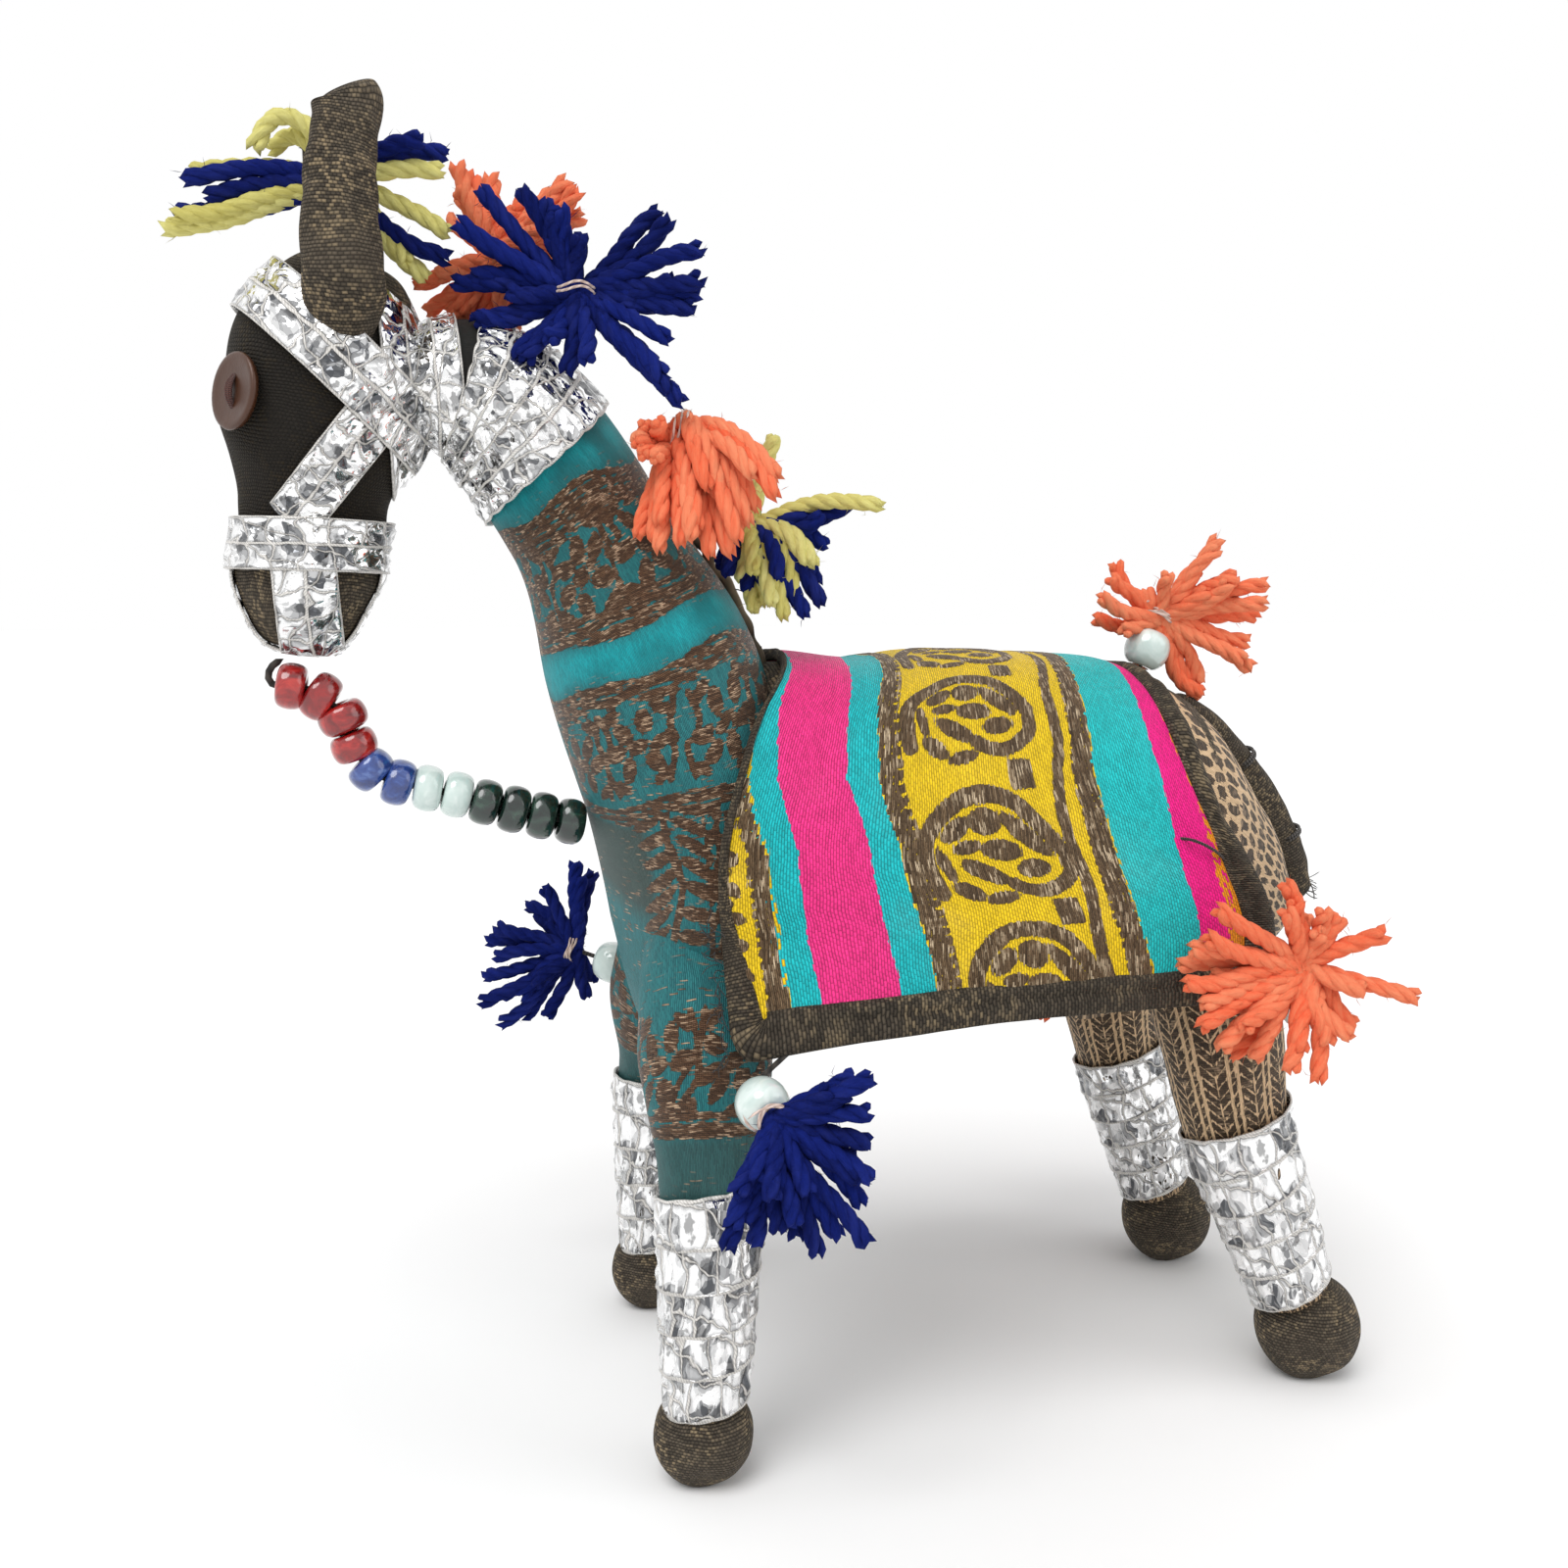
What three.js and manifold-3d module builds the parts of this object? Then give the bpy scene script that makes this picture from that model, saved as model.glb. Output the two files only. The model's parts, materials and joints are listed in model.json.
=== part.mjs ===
// A stuffed patchwork horse of brocade and plain cloth, bound with woven silver tape
// and hung with wool tassels, glass beads and a beaded rein.
// Millimetres, +Z up. The horse looks along -X, and its left side is -Y.
import * as THREE from 'three';
import { mergeVertices } from 'three/addons/utils/BufferGeometryUtils.js';
import Module from 'manifold-3d';

const wasm = await Module();
wasm.setup();

// Clearances
const seam = 0.35;               // where one sewn piece meets another
const footFlat = 0.5;            // depth of the flat that each hoof stands on
const facetSlack = 0.03;         // slivers thinner than this are merged away

// Torso
const backHeight = 133;
const torsoHalfHeight = 34;
const torsoHalfWidth = 32.5;
const chestX = -54;
const rumpX = 62;
const rumpDrop = 18;             // how far the tail end lies below the middle of the torso
const patchSeamX = 24;           // where the plain belly cloth meets the rump brocade

// Neck and chest
const pollX = -103;
const pollHeight = 184;
const neckRadius = 13.4;
const chestHalfWidth = 31;
const chestHalfDepth = 18.2;
const chestFoot = 66;            // height of the lower end of the chest

// Head
const crownReach = 6;            // how far the crown lies in front of the poll
const crownRise = 15.5;          // how far it stands above the poll
const headLength = 62.9;
const headLean = 10.8;           // how far the muzzle lies in front of the crown
const craniumHalfDepth = 16.6;
const craniumHalfWidth = 13.6;
const muzzleHalfDepth = 12.2;
const muzzleHalfWidth = 10.8;

// Ears
const earHeight = 43;
const earHalfWidth = 6.6;
const earHalfThickness = 3.8;
const earSpread = 13.2;

// Legs
const frontHoofX = -59.4;
const frontHoofY = 33;
const rearHoofX = 58;
const rearHoofY = 27;
const rearKneeX = 41.8;
const frontLegRadius = 7.2;
const rearLegRadius = 8;
const frontHoofRadius = 8.3;
const rearHoofRadius = 9.7;
const wrapTop = 49;
const farFrontShift = 3.4;       // how far behind its partner the right front leg stands
const farRearShift = 3.6;        // and the knee of the right rear leg
const frontWrapFoot = 10.4;
const rearWrapFoot = 15;

// Silver tape
const tapeThickness = 0.8;
const tapeGap = 0.5;             // between one turn of a winding and the next
const legTurns = 5;
const neckTurns = 2;
const bandWidth = 10.4;
const strapWidth = 8.4;
const narrowStrapWidth = 6.4;

// Button eyes
const eyeRadius = 5.6;
const eyeThickness = 1.3;

// Saddle cloth
const clothThickness = 1.4;
const clothLoft = 1.9;           // how far its middle layer lies over the back
const clothFlare = 9;            // how far the hem stands out from the widest part of the torso
const clothDrop = 61.5;          // from the back down to the front corners of the hem
const hemRise = 5.5;             // how far the hem rises from the front corners to the rear ones
const clothFront = -36.8;        // the front edge on the ridge of the back
const clothRear = 31.8;
const shoulderReach = 20.7;      // how far the front edge bows forwards over the shoulder
const farLead = 6;               // the far side is sewn on this much further forwards
const hemWave = 0.9;
const bindingHalfWidth = 2.7;
const bindingHalfThickness = 1.7;

// Tail
const tailRadius = 4.7;
const tailLength = 49;

// Beads, threads and yarn
const reinBeadRadius = 4;
const reinBeadHalfLength = 1.95;
const cornerBeadRadius = 4.3;
const cornerBeadHalfLength = 3.7;
const beadBore = 1.15;
const threadRadius = 0.6;
const yarnRadius = 1.5;
const knotRadius = 3.2;

const torsoMid = backHeight - torsoHalfHeight;
const crownX = pollX - crownReach;
const crownHeight = pollHeight + crownRise;
const vector = (x, y, z) => new THREE.Vector3(x, y, z);
const up = vector(0, 0, 1);

// Shaping tools

// Merges the shared corners of a geometry and drops the empty triangles at its poles.
function welded(geometry) {
  geometry.deleteAttribute('normal');
  geometry.deleteAttribute('uv');
  const merged = mergeVertices(geometry, 1e-4);
  const corners = merged.index.array;
  const kept = [];
  for (let i = 0; i < corners.length; i += 3) {
    const [a, b, c] = corners.slice(i, i + 3);
    if (a !== b && b !== c && c !== a) kept.push(a, b, c);
  }
  merged.setIndex(kept);
  return merged;
}

function solid(geometry) {
  const { attributes, index } = welded(geometry);
  return new wasm.Manifold(new wasm.Mesh({
    numProp: 3,
    vertProperties: new Float32Array(attributes.position.array),
    triVerts: new Uint32Array(index.array),
  }));
}

const joined = (pieces) => pieces.reduce((all, one) => all.add(one));

// Cuts the neighbours out of a piece and keeps its main body.
function cutBy(piece, ...neighbours) {
  const rest = neighbours.reduce((left, other) => left.subtract(other), piece);
  return rest.decompose().reduce((a, b) => (a.volume() > b.volume() ? a : b));
}

// A block that lies square to a direction, centred on a point.
function block(centre, direction, depth, size = 400) {
  const box = new THREE.BoxGeometry(depth, size, size);
  const way = direction.clone().normalize();
  box.applyQuaternion(new THREE.Quaternion().setFromUnitVectors(vector(1, 0, 0), way));
  box.translate(centre.x, centre.y, centre.z);
  return solid(box);
}

// Everything that lies past a point in a direction.
function beyond(point, direction) {
  const way = direction.clone().normalize();
  return block(point.clone().addScaledVector(way, 200), way, 400);
}

// Soft forms

// A stuffed form is a list of stations along a spine: centre, half width and half depth.
// A low fullness gives blunt, well packed ends.
function form(stations, options = {}) {
  return {
    line: new THREE.CatmullRomCurve3(stations.map(([x, y, z]) => vector(x, y, z))),
    girth: new THREE.CatmullRomCurve3(stations.map(([, , , wide, deep]) => vector(wide, deep, 0))),
    sides: 14,
    rows: 12,
    fullness: 0.42,
    ...options,
  };
}

// The point of a form at a share of its spine and an angle round it, moved outwards by off.
// Angle 0 is on the right, and a quarter turn is on the upper or rear side.
function surfacePoint(shape, share, angle, off = 0) {
  const height = 1 - 2 * share;
  const swell = Math.sqrt(Math.max(0, 1 - height * height)) ** shape.fullness;
  const along = shape.line.getTangent(share);
  const side = vector(0, 1, 0).addScaledVector(along, -along.y).normalize();
  const depth = vector().crossVectors(along, side);
  const half = shape.girth.getPoint(share);
  return shape.line.getPoint(share)
    .addScaledVector(side, Math.cos(angle) * (half.x + off) * swell)
    .addScaledVector(depth, Math.sin(angle) * (half.y + off) * swell)
    .addScaledVector(along, -Math.sign(height) * off * Math.abs(height) ** 8);
}

// The closed skin of a form: a sphere drawn out along its spine.
function stuffed(shape, grow = 0) {
  const ball = new THREE.SphereGeometry(1, shape.sides, shape.rows);
  const { position } = ball.attributes;
  for (let i = 0; i < position.count; i++) {
    const share = THREE.MathUtils.clamp((1 - position.getY(i)) / 2, 0, 1);
    const angle = Math.atan2(position.getZ(i), position.getX(i));
    const point = surfacePoint(shape, share, angle, grow);
    position.setXYZ(i, point.x, point.y, point.z);
  }
  return solid(ball);
}

// The share of the spine where a coordinate that falls, or rises, along it passes a value.
function shareWhere(shape, axis, value) {
  const rises = shape.line.getPoint(1)[axis] > shape.line.getPoint(0)[axis];
  let [low, high] = [0, 1];
  for (let i = 0; i < 24; i++) {
    const middle = (low + high) / 2;
    const passed = shape.line.getPoint(middle)[axis] > value;
    if (passed === rises) high = middle;
    else low = middle;
  }
  return low;
}

// One flat tape wound round a form as a single closed strip. Each turn advances by its own
// width and the gap. The least gap between neighbouring turns is measured and printed.
function woundTape(name, shape, start, end, turns, stepsPerTurn, panels = 1) {
  const steps = turns * stepsPerTurn;
  const strip = new THREE.BoxGeometry(1, 1, 1, panels, 1, steps);
  const { position } = strip.attributes;
  const length = shape.line.getPoint(start).distanceTo(shape.line.getPoint(end));
  const pitch = (end - start) / (turns + 1);
  const width = pitch - tapeGap * (end - start) / length;
  const place = (across, level, along) => surfacePoint(
    shape,
    start + pitch / 2 + along * turns * pitch + across * width,
    2 * Math.PI * turns * along,
    seam + (level + 0.5) * tapeThickness,
  );
  for (let i = 0; i < position.count; i++) {
    const point = place(position.getX(i), position.getY(i), position.getZ(i) + 0.5);
    position.setXYZ(i, point.x, point.y, point.z);
  }
  let least = Infinity;
  for (let i = 0; i + stepsPerTurn <= steps; i++) {
    for (const level of [-0.5, 0.5]) {
      const here = place(0.5, level, i / steps);
      least = Math.min(least, here.distanceTo(place(-0.5, level, (i + stepsPerTurn) / steps)));
    }
  }
  console.log(`${name}: ${turns} turns, least gap to itself ${least.toFixed(2)} mm`);
  return solid(strip);
}

// Beads and yarn

function bead(radius, halfLength, centre, axis) {
  const half = [[1, 0], [0.9, 0.55], [0.56, 1]].map(([r, y]) => [r * radius, y * halfLength]);
  const outline = [
    ...half.map(([r, y]) => [r, -y]).reverse(),
    ...half.slice(1),
    [beadBore, 0.86 * halfLength],
    [beadBore, -0.86 * halfLength],
  ];
  const closed = [...outline, outline[0]].map(([r, y]) => new THREE.Vector2(r, y));
  const ring = new THREE.LatheGeometry(closed, 10);
  ring.applyQuaternion(new THREE.Quaternion().setFromUnitVectors(vector(0, 1, 0), axis.clone().normalize()));
  ring.translate(centre.x, centre.y, centre.z);
  return solid(ring);
}

function tube(route, radius, steps, sides = 8) {
  const circle = new THREE.Shape();
  circle.absarc(0, 0, radius, 0, 2 * Math.PI, false);
  return solid(new THREE.ExtrudeGeometry(circle, {
    curveSegments: sides / 2,
    steps,
    bevelEnabled: false,
    extrudePath: new THREE.CatmullRomCurve3(route),
  }));
}

// One strand of yarn from a knot to its frayed free end, bowed upwards by its own spring.
function strand(from, to, bow) {
  const middle = from.clone().lerp(to, 0.55).addScaledVector(up, bow);
  const stations = [[from, 0.85], [middle, 1], [to, 1.15]].map(
    ([point, size]) => [point.x, point.y, point.z, size * yarnRadius, size * yarnRadius],
  );
  return stuffed(form(stations, { sides: 4, rows: 3, fullness: 0.3 }));
}

function ballAt(centre, radius, rows, squash = 1) {
  const ball = new THREE.SphereGeometry(radius, 2 * rows - 2, rows);
  ball.scale(1, squash, 1);
  ball.translate(centre.x, centre.y, centre.z);
  return solid(ball);
}

// A tassel is a knot with fans of strands. A fan's strands spread evenly round its axis,
// and flat below 1 presses the whole tassel towards the plane of the horse's side.
function tassel(knot, fans, flat = 1) {
  const strands = [ballAt(knot, knotRadius, 5, Math.max(flat, 0.7))];
  for (const { axis, spread, length, count, bow = 1 } of fans) {
    const aim = new THREE.Quaternion().setFromUnitVectors(up, vector(...axis).normalize());
    for (let i = 0; i < count; i++) {
      const lean = spread * Math.sqrt((i + 0.5) / count);
      const turn = i * Math.PI * (3 - Math.sqrt(5));
      const reach = length * (0.87 + 0.13 * Math.cos(4.1 * i));
      const way = vector(Math.sin(lean) * Math.cos(turn), Math.sin(lean) * Math.sin(turn), Math.cos(lean));
      way.applyQuaternion(aim).multiply(vector(1, flat, 1));
      const root = knot.clone().addScaledVector(way, 0.5 * knotRadius);
      strands.push(strand(root, knot.clone().addScaledVector(way, reach), bow));
    }
  }
  return joined(strands);
}

// The scene graph

const horse = new THREE.Group();

const finishes = {
  plainCloth: { color: 0x35302b, roughness: 0.95 },
  tealBrocade: { color: 0x1f7076, roughness: 0.6 },
  brownBrocade: { color: 0x6d5a48, roughness: 0.7 },
  saddleBrocade: { color: 0xd9b325, roughness: 0.6 },
  silverTape: { color: 0xc9ccd0, roughness: 0.22, metalness: 0.9 },
  copperButton: { color: 0x7a5344, roughness: 0.4, metalness: 0.4 },
  orangeYarn: { color: 0xf4683a, roughness: 1 },
  blueYarn: { color: 0x1b2a83, roughness: 1 },
  yellowYarn: { color: 0xd9d35a, roughness: 1 },
  whiteGlass: { color: 0xd3dfda, roughness: 0.1 },
  redGlass: { color: 0xa81616, roughness: 0.1 },
  blueGlass: { color: 0x2b4192, roughness: 0.1 },
  greenGlass: { color: 0x10241d, roughness: 0.1 },
  thread: { color: 0x2a2622, roughness: 0.9 },
};

function add(name, piece, finish) {
  const { vertProperties, triVerts } = piece.simplify(facetSlack).getMesh();
  const geometry = new THREE.BufferGeometry();
  geometry.setAttribute('position', new THREE.BufferAttribute(vertProperties, 3));
  geometry.setIndex(new THREE.BufferAttribute(triVerts, 1));
  geometry.computeVertexNormals();
  const mesh = new THREE.Mesh(geometry, new THREE.MeshStandardMaterial(finishes[finish]));
  mesh.name = name;
  horse.add(mesh);
}

const sides = [['left', -1], ['right', 1]];

// Torso: a packed barrel, in two where its patches are sewn together

const torso = form([
  [chestX, 0, torsoMid - 1, 0.8 * torsoHalfWidth, 0.82 * torsoHalfHeight],
  [chestX + 24, 0, torsoMid, torsoHalfWidth, 0.97 * torsoHalfHeight],
  [chestX + 52, 0, torsoMid, torsoHalfWidth, torsoHalfHeight],
  [rumpX - 36, 0, torsoMid - 0.1 * rumpDrop, torsoHalfWidth, 0.99 * torsoHalfHeight],
  [rumpX - 16, 0, torsoMid - 0.45 * rumpDrop, 0.84 * torsoHalfWidth, 0.72 * torsoHalfHeight],
  [rumpX, 0, torsoMid - rumpDrop, 0.6 * torsoHalfWidth, 0.42 * torsoHalfHeight],
], { sides: 18, rows: 14 });
const torsoSpace = stuffed(torso, seam);
const rumpSide = vector(1, 0, 0);
add('barrel', stuffed(torso).subtract(beyond(vector(patchSeamX, 0, torsoMid), rumpSide)), 'plainCloth');
add('rump', stuffed(torso).intersect(beyond(vector(patchSeamX + seam, 0, torsoMid), rumpSide)), 'brownBrocade');

// Neck and chest: one brocade tube that widens over the front of the torso

const neckRun = chestX - pollX;
const neckFall = pollHeight - backHeight;
const neck = form([
  [pollX, 0, pollHeight, 0.92 * neckRadius, 0.95 * neckRadius],
  [pollX + 0.34 * neckRun, 0, pollHeight - 0.15 * neckFall, neckRadius, 1.04 * neckRadius],
  [pollX + 0.62 * neckRun, 0, pollHeight - 0.5 * neckFall, 1.06 * neckRadius, 1.04 * neckRadius],
  [chestX - 8, 0, backHeight + 2.5, 1.5 * neckRadius, chestHalfDepth],
  [chestX - 1.4, 0, backHeight - 22, 0.94 * chestHalfWidth, chestHalfDepth],
  [chestX - 0.5, 0, (backHeight + chestFoot) / 2 - 12, chestHalfWidth, 0.85 * chestHalfDepth],
  [chestX - 1.6, 0, chestFoot, 0.84 * chestHalfWidth, 0.64 * chestHalfDepth],
], { sides: 14, rows: 24, fullness: 0.36 });
const neckSpace = stuffed(neck, seam);
add('neck', cutBy(stuffed(neck), torsoSpace), 'tealBrocade');
const crest = Math.PI / 2;

// Head, from the crown down to the muzzle

function headPoint(share) {
  return vector(crownX - headLean * share ** 0.62, 0, crownHeight - headLength * share);
}
const head = form([
  [0, 0.8 * craniumHalfWidth, 0.86 * craniumHalfDepth],
  [0.217, craniumHalfWidth, craniumHalfDepth],
  [0.425, 0.95 * craniumHalfWidth, craniumHalfDepth],
  [0.626, 0.9 * muzzleHalfWidth, 0.96 * muzzleHalfDepth],
  [0.81, muzzleHalfWidth, muzzleHalfDepth],
  [1, 0.9 * muzzleHalfWidth, 0.9 * muzzleHalfDepth],
].map(([share, wide, deep]) => [...headPoint(share).toArray(), wide, deep]), { sides: 14, rows: 12 });
const headSpace = stuffed(head, seam);
add('head', cutBy(stuffed(head), neckSpace), 'plainCloth');

// Ears: flat stuffed points, the right one leaning forwards

const earTipLean = { left: 4, right: -2.5 };
const earSpaces = [];
for (const [side, way] of sides) {
  const earY = way * earSpread;
  const ear = form([
    [crownX - 1.6, 0.7 * earY, crownHeight - 17, 0.75 * earHalfThickness, 0.55 * earHalfWidth],
    [crownX - 2, 0.98 * earY, crownHeight - 6, earHalfThickness, 1.02 * earHalfWidth],
    [crownX - 2, earY, crownHeight + 0.16 * earHeight, 0.95 * earHalfThickness, 0.92 * earHalfWidth],
    [crownX + earTipLean[side], 0.78 * earY, crownHeight + 0.6 * earHeight, 0.5 * earHalfThickness,
      0.42 * earHalfWidth],
  ], { sides: 10, rows: 8, fullness: 0.5 });
  earSpaces.push(stuffed(ear, seam));
  add(`ear_${side}`, cutBy(stuffed(ear), headSpace, neckSpace), 'plainCloth');
}

// Legs, the silver tape wound round them, and the hooves

function hoof(x, y, radius, leg, foot) {
  const ball = new THREE.SphereGeometry(radius, 14, 8);
  ball.rotateX(Math.PI / 2);
  ball.translate(x, y, radius - footFlat);
  const shin = leg.line.getTangent(foot).negate();
  const ankle = leg.line.getPoint(foot).addScaledVector(shin, -seam);
  const floor = beyond(vector(x, y, 0), vector(0, 0, -1));
  return cutBy(solid(ball), stuffed(leg, seam), beyond(ankle, shin), floor);
}

const legSpaces = [];
for (const [side, way] of sides) {
  const frontX = frontHoofX + (way > 0 ? farFrontShift : 0);
  const kneeX = rearKneeX + (way > 0 ? farRearShift : 0);
  const frontY = way * frontHoofY;
  const rearY = way * rearHoofY;
  const frontLeg = form([
    [frontX + 2.4, 0.62 * frontY, torsoMid - 9, 1.66 * frontLegRadius, 1.66 * frontLegRadius],
    [frontX + 1.8, 0.84 * frontY, torsoMid - 29, 1.5 * frontLegRadius, 1.55 * frontLegRadius],
    [frontX + 1.4, 0.96 * frontY, wrapTop + 3, 1.1 * frontLegRadius, 1.12 * frontLegRadius],
    [frontX + 0.7, frontY, 0.57 * wrapTop, frontLegRadius, frontLegRadius],
    [frontX, frontY, 0.48 * frontHoofRadius, 0.95 * frontLegRadius, 0.95 * frontLegRadius],
  ], { sides: 12, rows: 12, fullness: 0.3 });
  const rearLeg = form([
    [kneeX - 5.8, 0.66 * rearY, torsoMid - 11, 1.56 * rearLegRadius, 1.75 * rearLegRadius],
    [kneeX - 3.8, 0.93 * rearY, torsoMid - 30, 1.35 * rearLegRadius, 1.5 * rearLegRadius],
    [kneeX, rearY, wrapTop - 1, 1.12 * rearLegRadius, 1.14 * rearLegRadius],
    [(kneeX + rearHoofX) / 2, rearY, 0.57 * wrapTop, rearLegRadius, rearLegRadius],
    [rearHoofX, rearY, 0.72 * rearHoofRadius, 0.92 * rearLegRadius, 0.92 * rearLegRadius],
  ], { sides: 12, rows: 16, fullness: 0.3 });
  const legs = [
    ['front', frontLeg, frontX, frontY, frontHoofRadius, frontWrapFoot, 'tealBrocade'],
    ['rear', rearLeg, rearHoofX, rearY, rearHoofRadius, rearWrapFoot, 'brownBrocade'],
  ];
  for (const [end, leg, hoofX, hoofY, hoofRadius, wrapFoot, finish] of legs) {
    const top = shareWhere(leg, 'z', wrapTop);
    const foot = shareWhere(leg, 'z', wrapFoot);
    legSpaces.push(stuffed(leg, 2 * seam + tapeThickness));
    add(`${end}_leg_${side}`, cutBy(stuffed(leg), torsoSpace, neckSpace), finish);
    const wrap = `leg_wrap_${end}_${side}`;
    add(wrap, woundTape(wrap, leg, top, foot, legTurns, 12), 'silverTape');
    add(`hoof_${end}_${side}`, hoof(hoofX, hoofY, hoofRadius, leg, foot), 'plainCloth');
  }
}

// Tape round the neck, and the bands and straps of the halter

const neckWrapStart = 0.125;
const neckWrapEnd = 0.4;
add('neck_wrap', woundTape('neck_wrap', neck, neckWrapStart, neckWrapEnd, neckTurns, 24, 2), 'silverTape');

const headAndNeck = (off) => stuffed(head, off).add(stuffed(neck, off));
const headOnly = (off) => stuffed(head, off);
const shellOn = (body) => body(seam + tapeThickness).subtract(body(seam));
const fromCrown = (dx, dz) => vector(crownX + dx, 0, crownHeight + dz);

const brow = [fromCrown(2, -21.5), vector(0.69, 0, 0.72)];
const throat = [fromCrown(9.6, -17.5), vector(1, 0, 0.02)];
const nose = [fromCrown(-10, -45.9), vector(0.03, 0, 1)];
const cheek = [fromCrown(-5.8, -35.5), vector(0.78, 0, -0.63)];
const muzzleCross = [fromCrown(-9.4, -54), vector(1, 0, 0.06)];

const browShell = shellOn(headAndNeck).intersect(block(...brow, bandWidth));
const browSpace = block(...brow, bandWidth + 2 * seam);
const throatRear = beyond(throat[0].clone().add(vector(bandWidth / 2, 0, 0)), throat[1]);
add('brow_band', cutBy(browShell, throatRear, ...earSpaces), 'silverTape');

const neckWrapEdge = neck.line.getPoint(neckWrapStart);
const wrapWay = neck.line.getTangent(neckWrapStart);
const throatShell = shellOn(headAndNeck).intersect(block(...throat, bandWidth));
add('throat_band', cutBy(throatShell, browSpace, ...earSpaces, beyond(neckWrapEdge, wrapWay)), 'silverTape');

const noseSpace = block(...nose, strapWidth + 2 * seam);
add('noseband', shellOn(headOnly).intersect(block(...nose, strapWidth)), 'silverTape');

const aboveNose = beyond(nose[0], up);
for (const [side, way] of sides) {
  const cheekShell = shellOn(headOnly).intersect(block(...cheek, strapWidth)).intersect(aboveNose);
  const thisSide = beyond(vector(0, 0, 0), vector(0, way, 0));
  const strap = cheekShell.intersect(thisSide);
  add(`cheek_strap_${side}`, cutBy(strap, browSpace, noseSpace, neckSpace), 'silverTape');
}

const belowNose = beyond(nose[0], vector(0, 0, -1));
const muzzleShell = shellOn(headOnly).intersect(belowNose).subtract(noseSpace);
add('muzzle_strap_side', cutBy(muzzleShell.intersect(block(...muzzleCross, strapWidth))), 'silverTape');
const lengthways = muzzleShell.intersect(block(muzzleCross[0], vector(0, 1, 0), narrowStrapWidth));
for (const [end, way] of [['front', -1], ['back', 1]]) {
  const edge = muzzleCross[0].clone().addScaledVector(muzzleCross[1], way * (strapWidth / 2 + seam));
  const half = lengthways.intersect(beyond(edge, muzzleCross[1].clone().multiplyScalar(way)));
  add(`muzzle_strap_${end}`, cutBy(half), 'silverTape');
}

// Room kept clear over the silver tape, for the wool that lies on it
const overTape = headAndNeck(2 * seam + tapeThickness);
const throatSpace = block(...throat, bandWidth + 2 * seam);
const wrapFoot = neck.line.getPoint(neckWrapEnd);
const overWrap = stuffed(neck, 3 * seam + tapeThickness)
  .intersect(beyond(neckWrapEdge, wrapWay))
  .subtract(beyond(wrapFoot, neck.line.getTangent(neckWrapEnd)));
const tapeSpaces = [overTape.intersect(browSpace), overTape.intersect(throatSpace), overWrap];

// Button eyes, sewn on the front corners of the brow

for (const [side, way] of sides) {
  const angle = Math.PI * (way > 0 ? -1 / 3 : -2 / 3);
  const share = 0.36;
  const spot = surfacePoint(head, share, angle, seam);
  const facing = surfacePoint(head, share, angle, 10).sub(spot).normalize();
  const outline = [
    [0, 0], [eyeRadius - 0.3, 0], [eyeRadius, 0.4 * eyeThickness], [eyeRadius - 0.4, eyeThickness],
    [0.55 * eyeRadius, 0.8 * eyeThickness], [0, 0.7 * eyeThickness],
  ];
  const button = new THREE.LatheGeometry(outline.map(([r, y]) => new THREE.Vector2(r, y)), 14);
  button.applyQuaternion(new THREE.Quaternion().setFromUnitVectors(vector(0, 1, 0), facing));
  button.translate(spot.x, spot.y, spot.z);
  add(`eye_${side}`, cutBy(solid(button), headSpace), 'copperButton');
}

// Tail: a flat stuffed strip, stitched along the rump with its end free

const tailStart = vector(rumpX - 21.5, 0, backHeight - 8);
const tailWay = vector(0.6, 0, -0.8);
const tail = form([0, 0.33, 0.7, 1].map((share) => {
  const arch = 3 * Math.sin(Math.PI * share);
  const point = tailStart.clone().addScaledVector(tailWay, share * tailLength);
  point.add(vector(arch, 0, 0.75 * arch));
  return [...point.toArray(), (1.1 - 0.1 * share) * tailRadius, (0.9 + 0.1 * share) * tailRadius];
}), { sides: 12, rows: 10, fullness: 0.35 });
add('tail', cutBy(stuffed(tail), torsoSpace), 'plainCloth');
const tailSpace = stuffed(tail, seam);

// Saddle cloth: a sheet over the back, hanging free at the sides.
// On it, u runs from the front edge (-1) to the rear edge (1), and v from the left hem (-1)
// over the ridge of the back (0) to the right hem (1).

const frontEdge = new THREE.SplineCurve([
  [0, 0], [0.2, 0.2], [0.42, 0.68], [0.62, 1], [0.82, 0.93], [1, 0.66],
].map(([v, reach]) => new THREE.Vector2(v, reach)));
const rearEdge = new THREE.SplineCurve([
  [0, 0], [0.22, -2.2], [0.45, -1.4], [0.65, 4], [0.83, 7.8], [1, 7.4],
].map(([v, reach]) => new THREE.Vector2(v, reach)));

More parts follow.
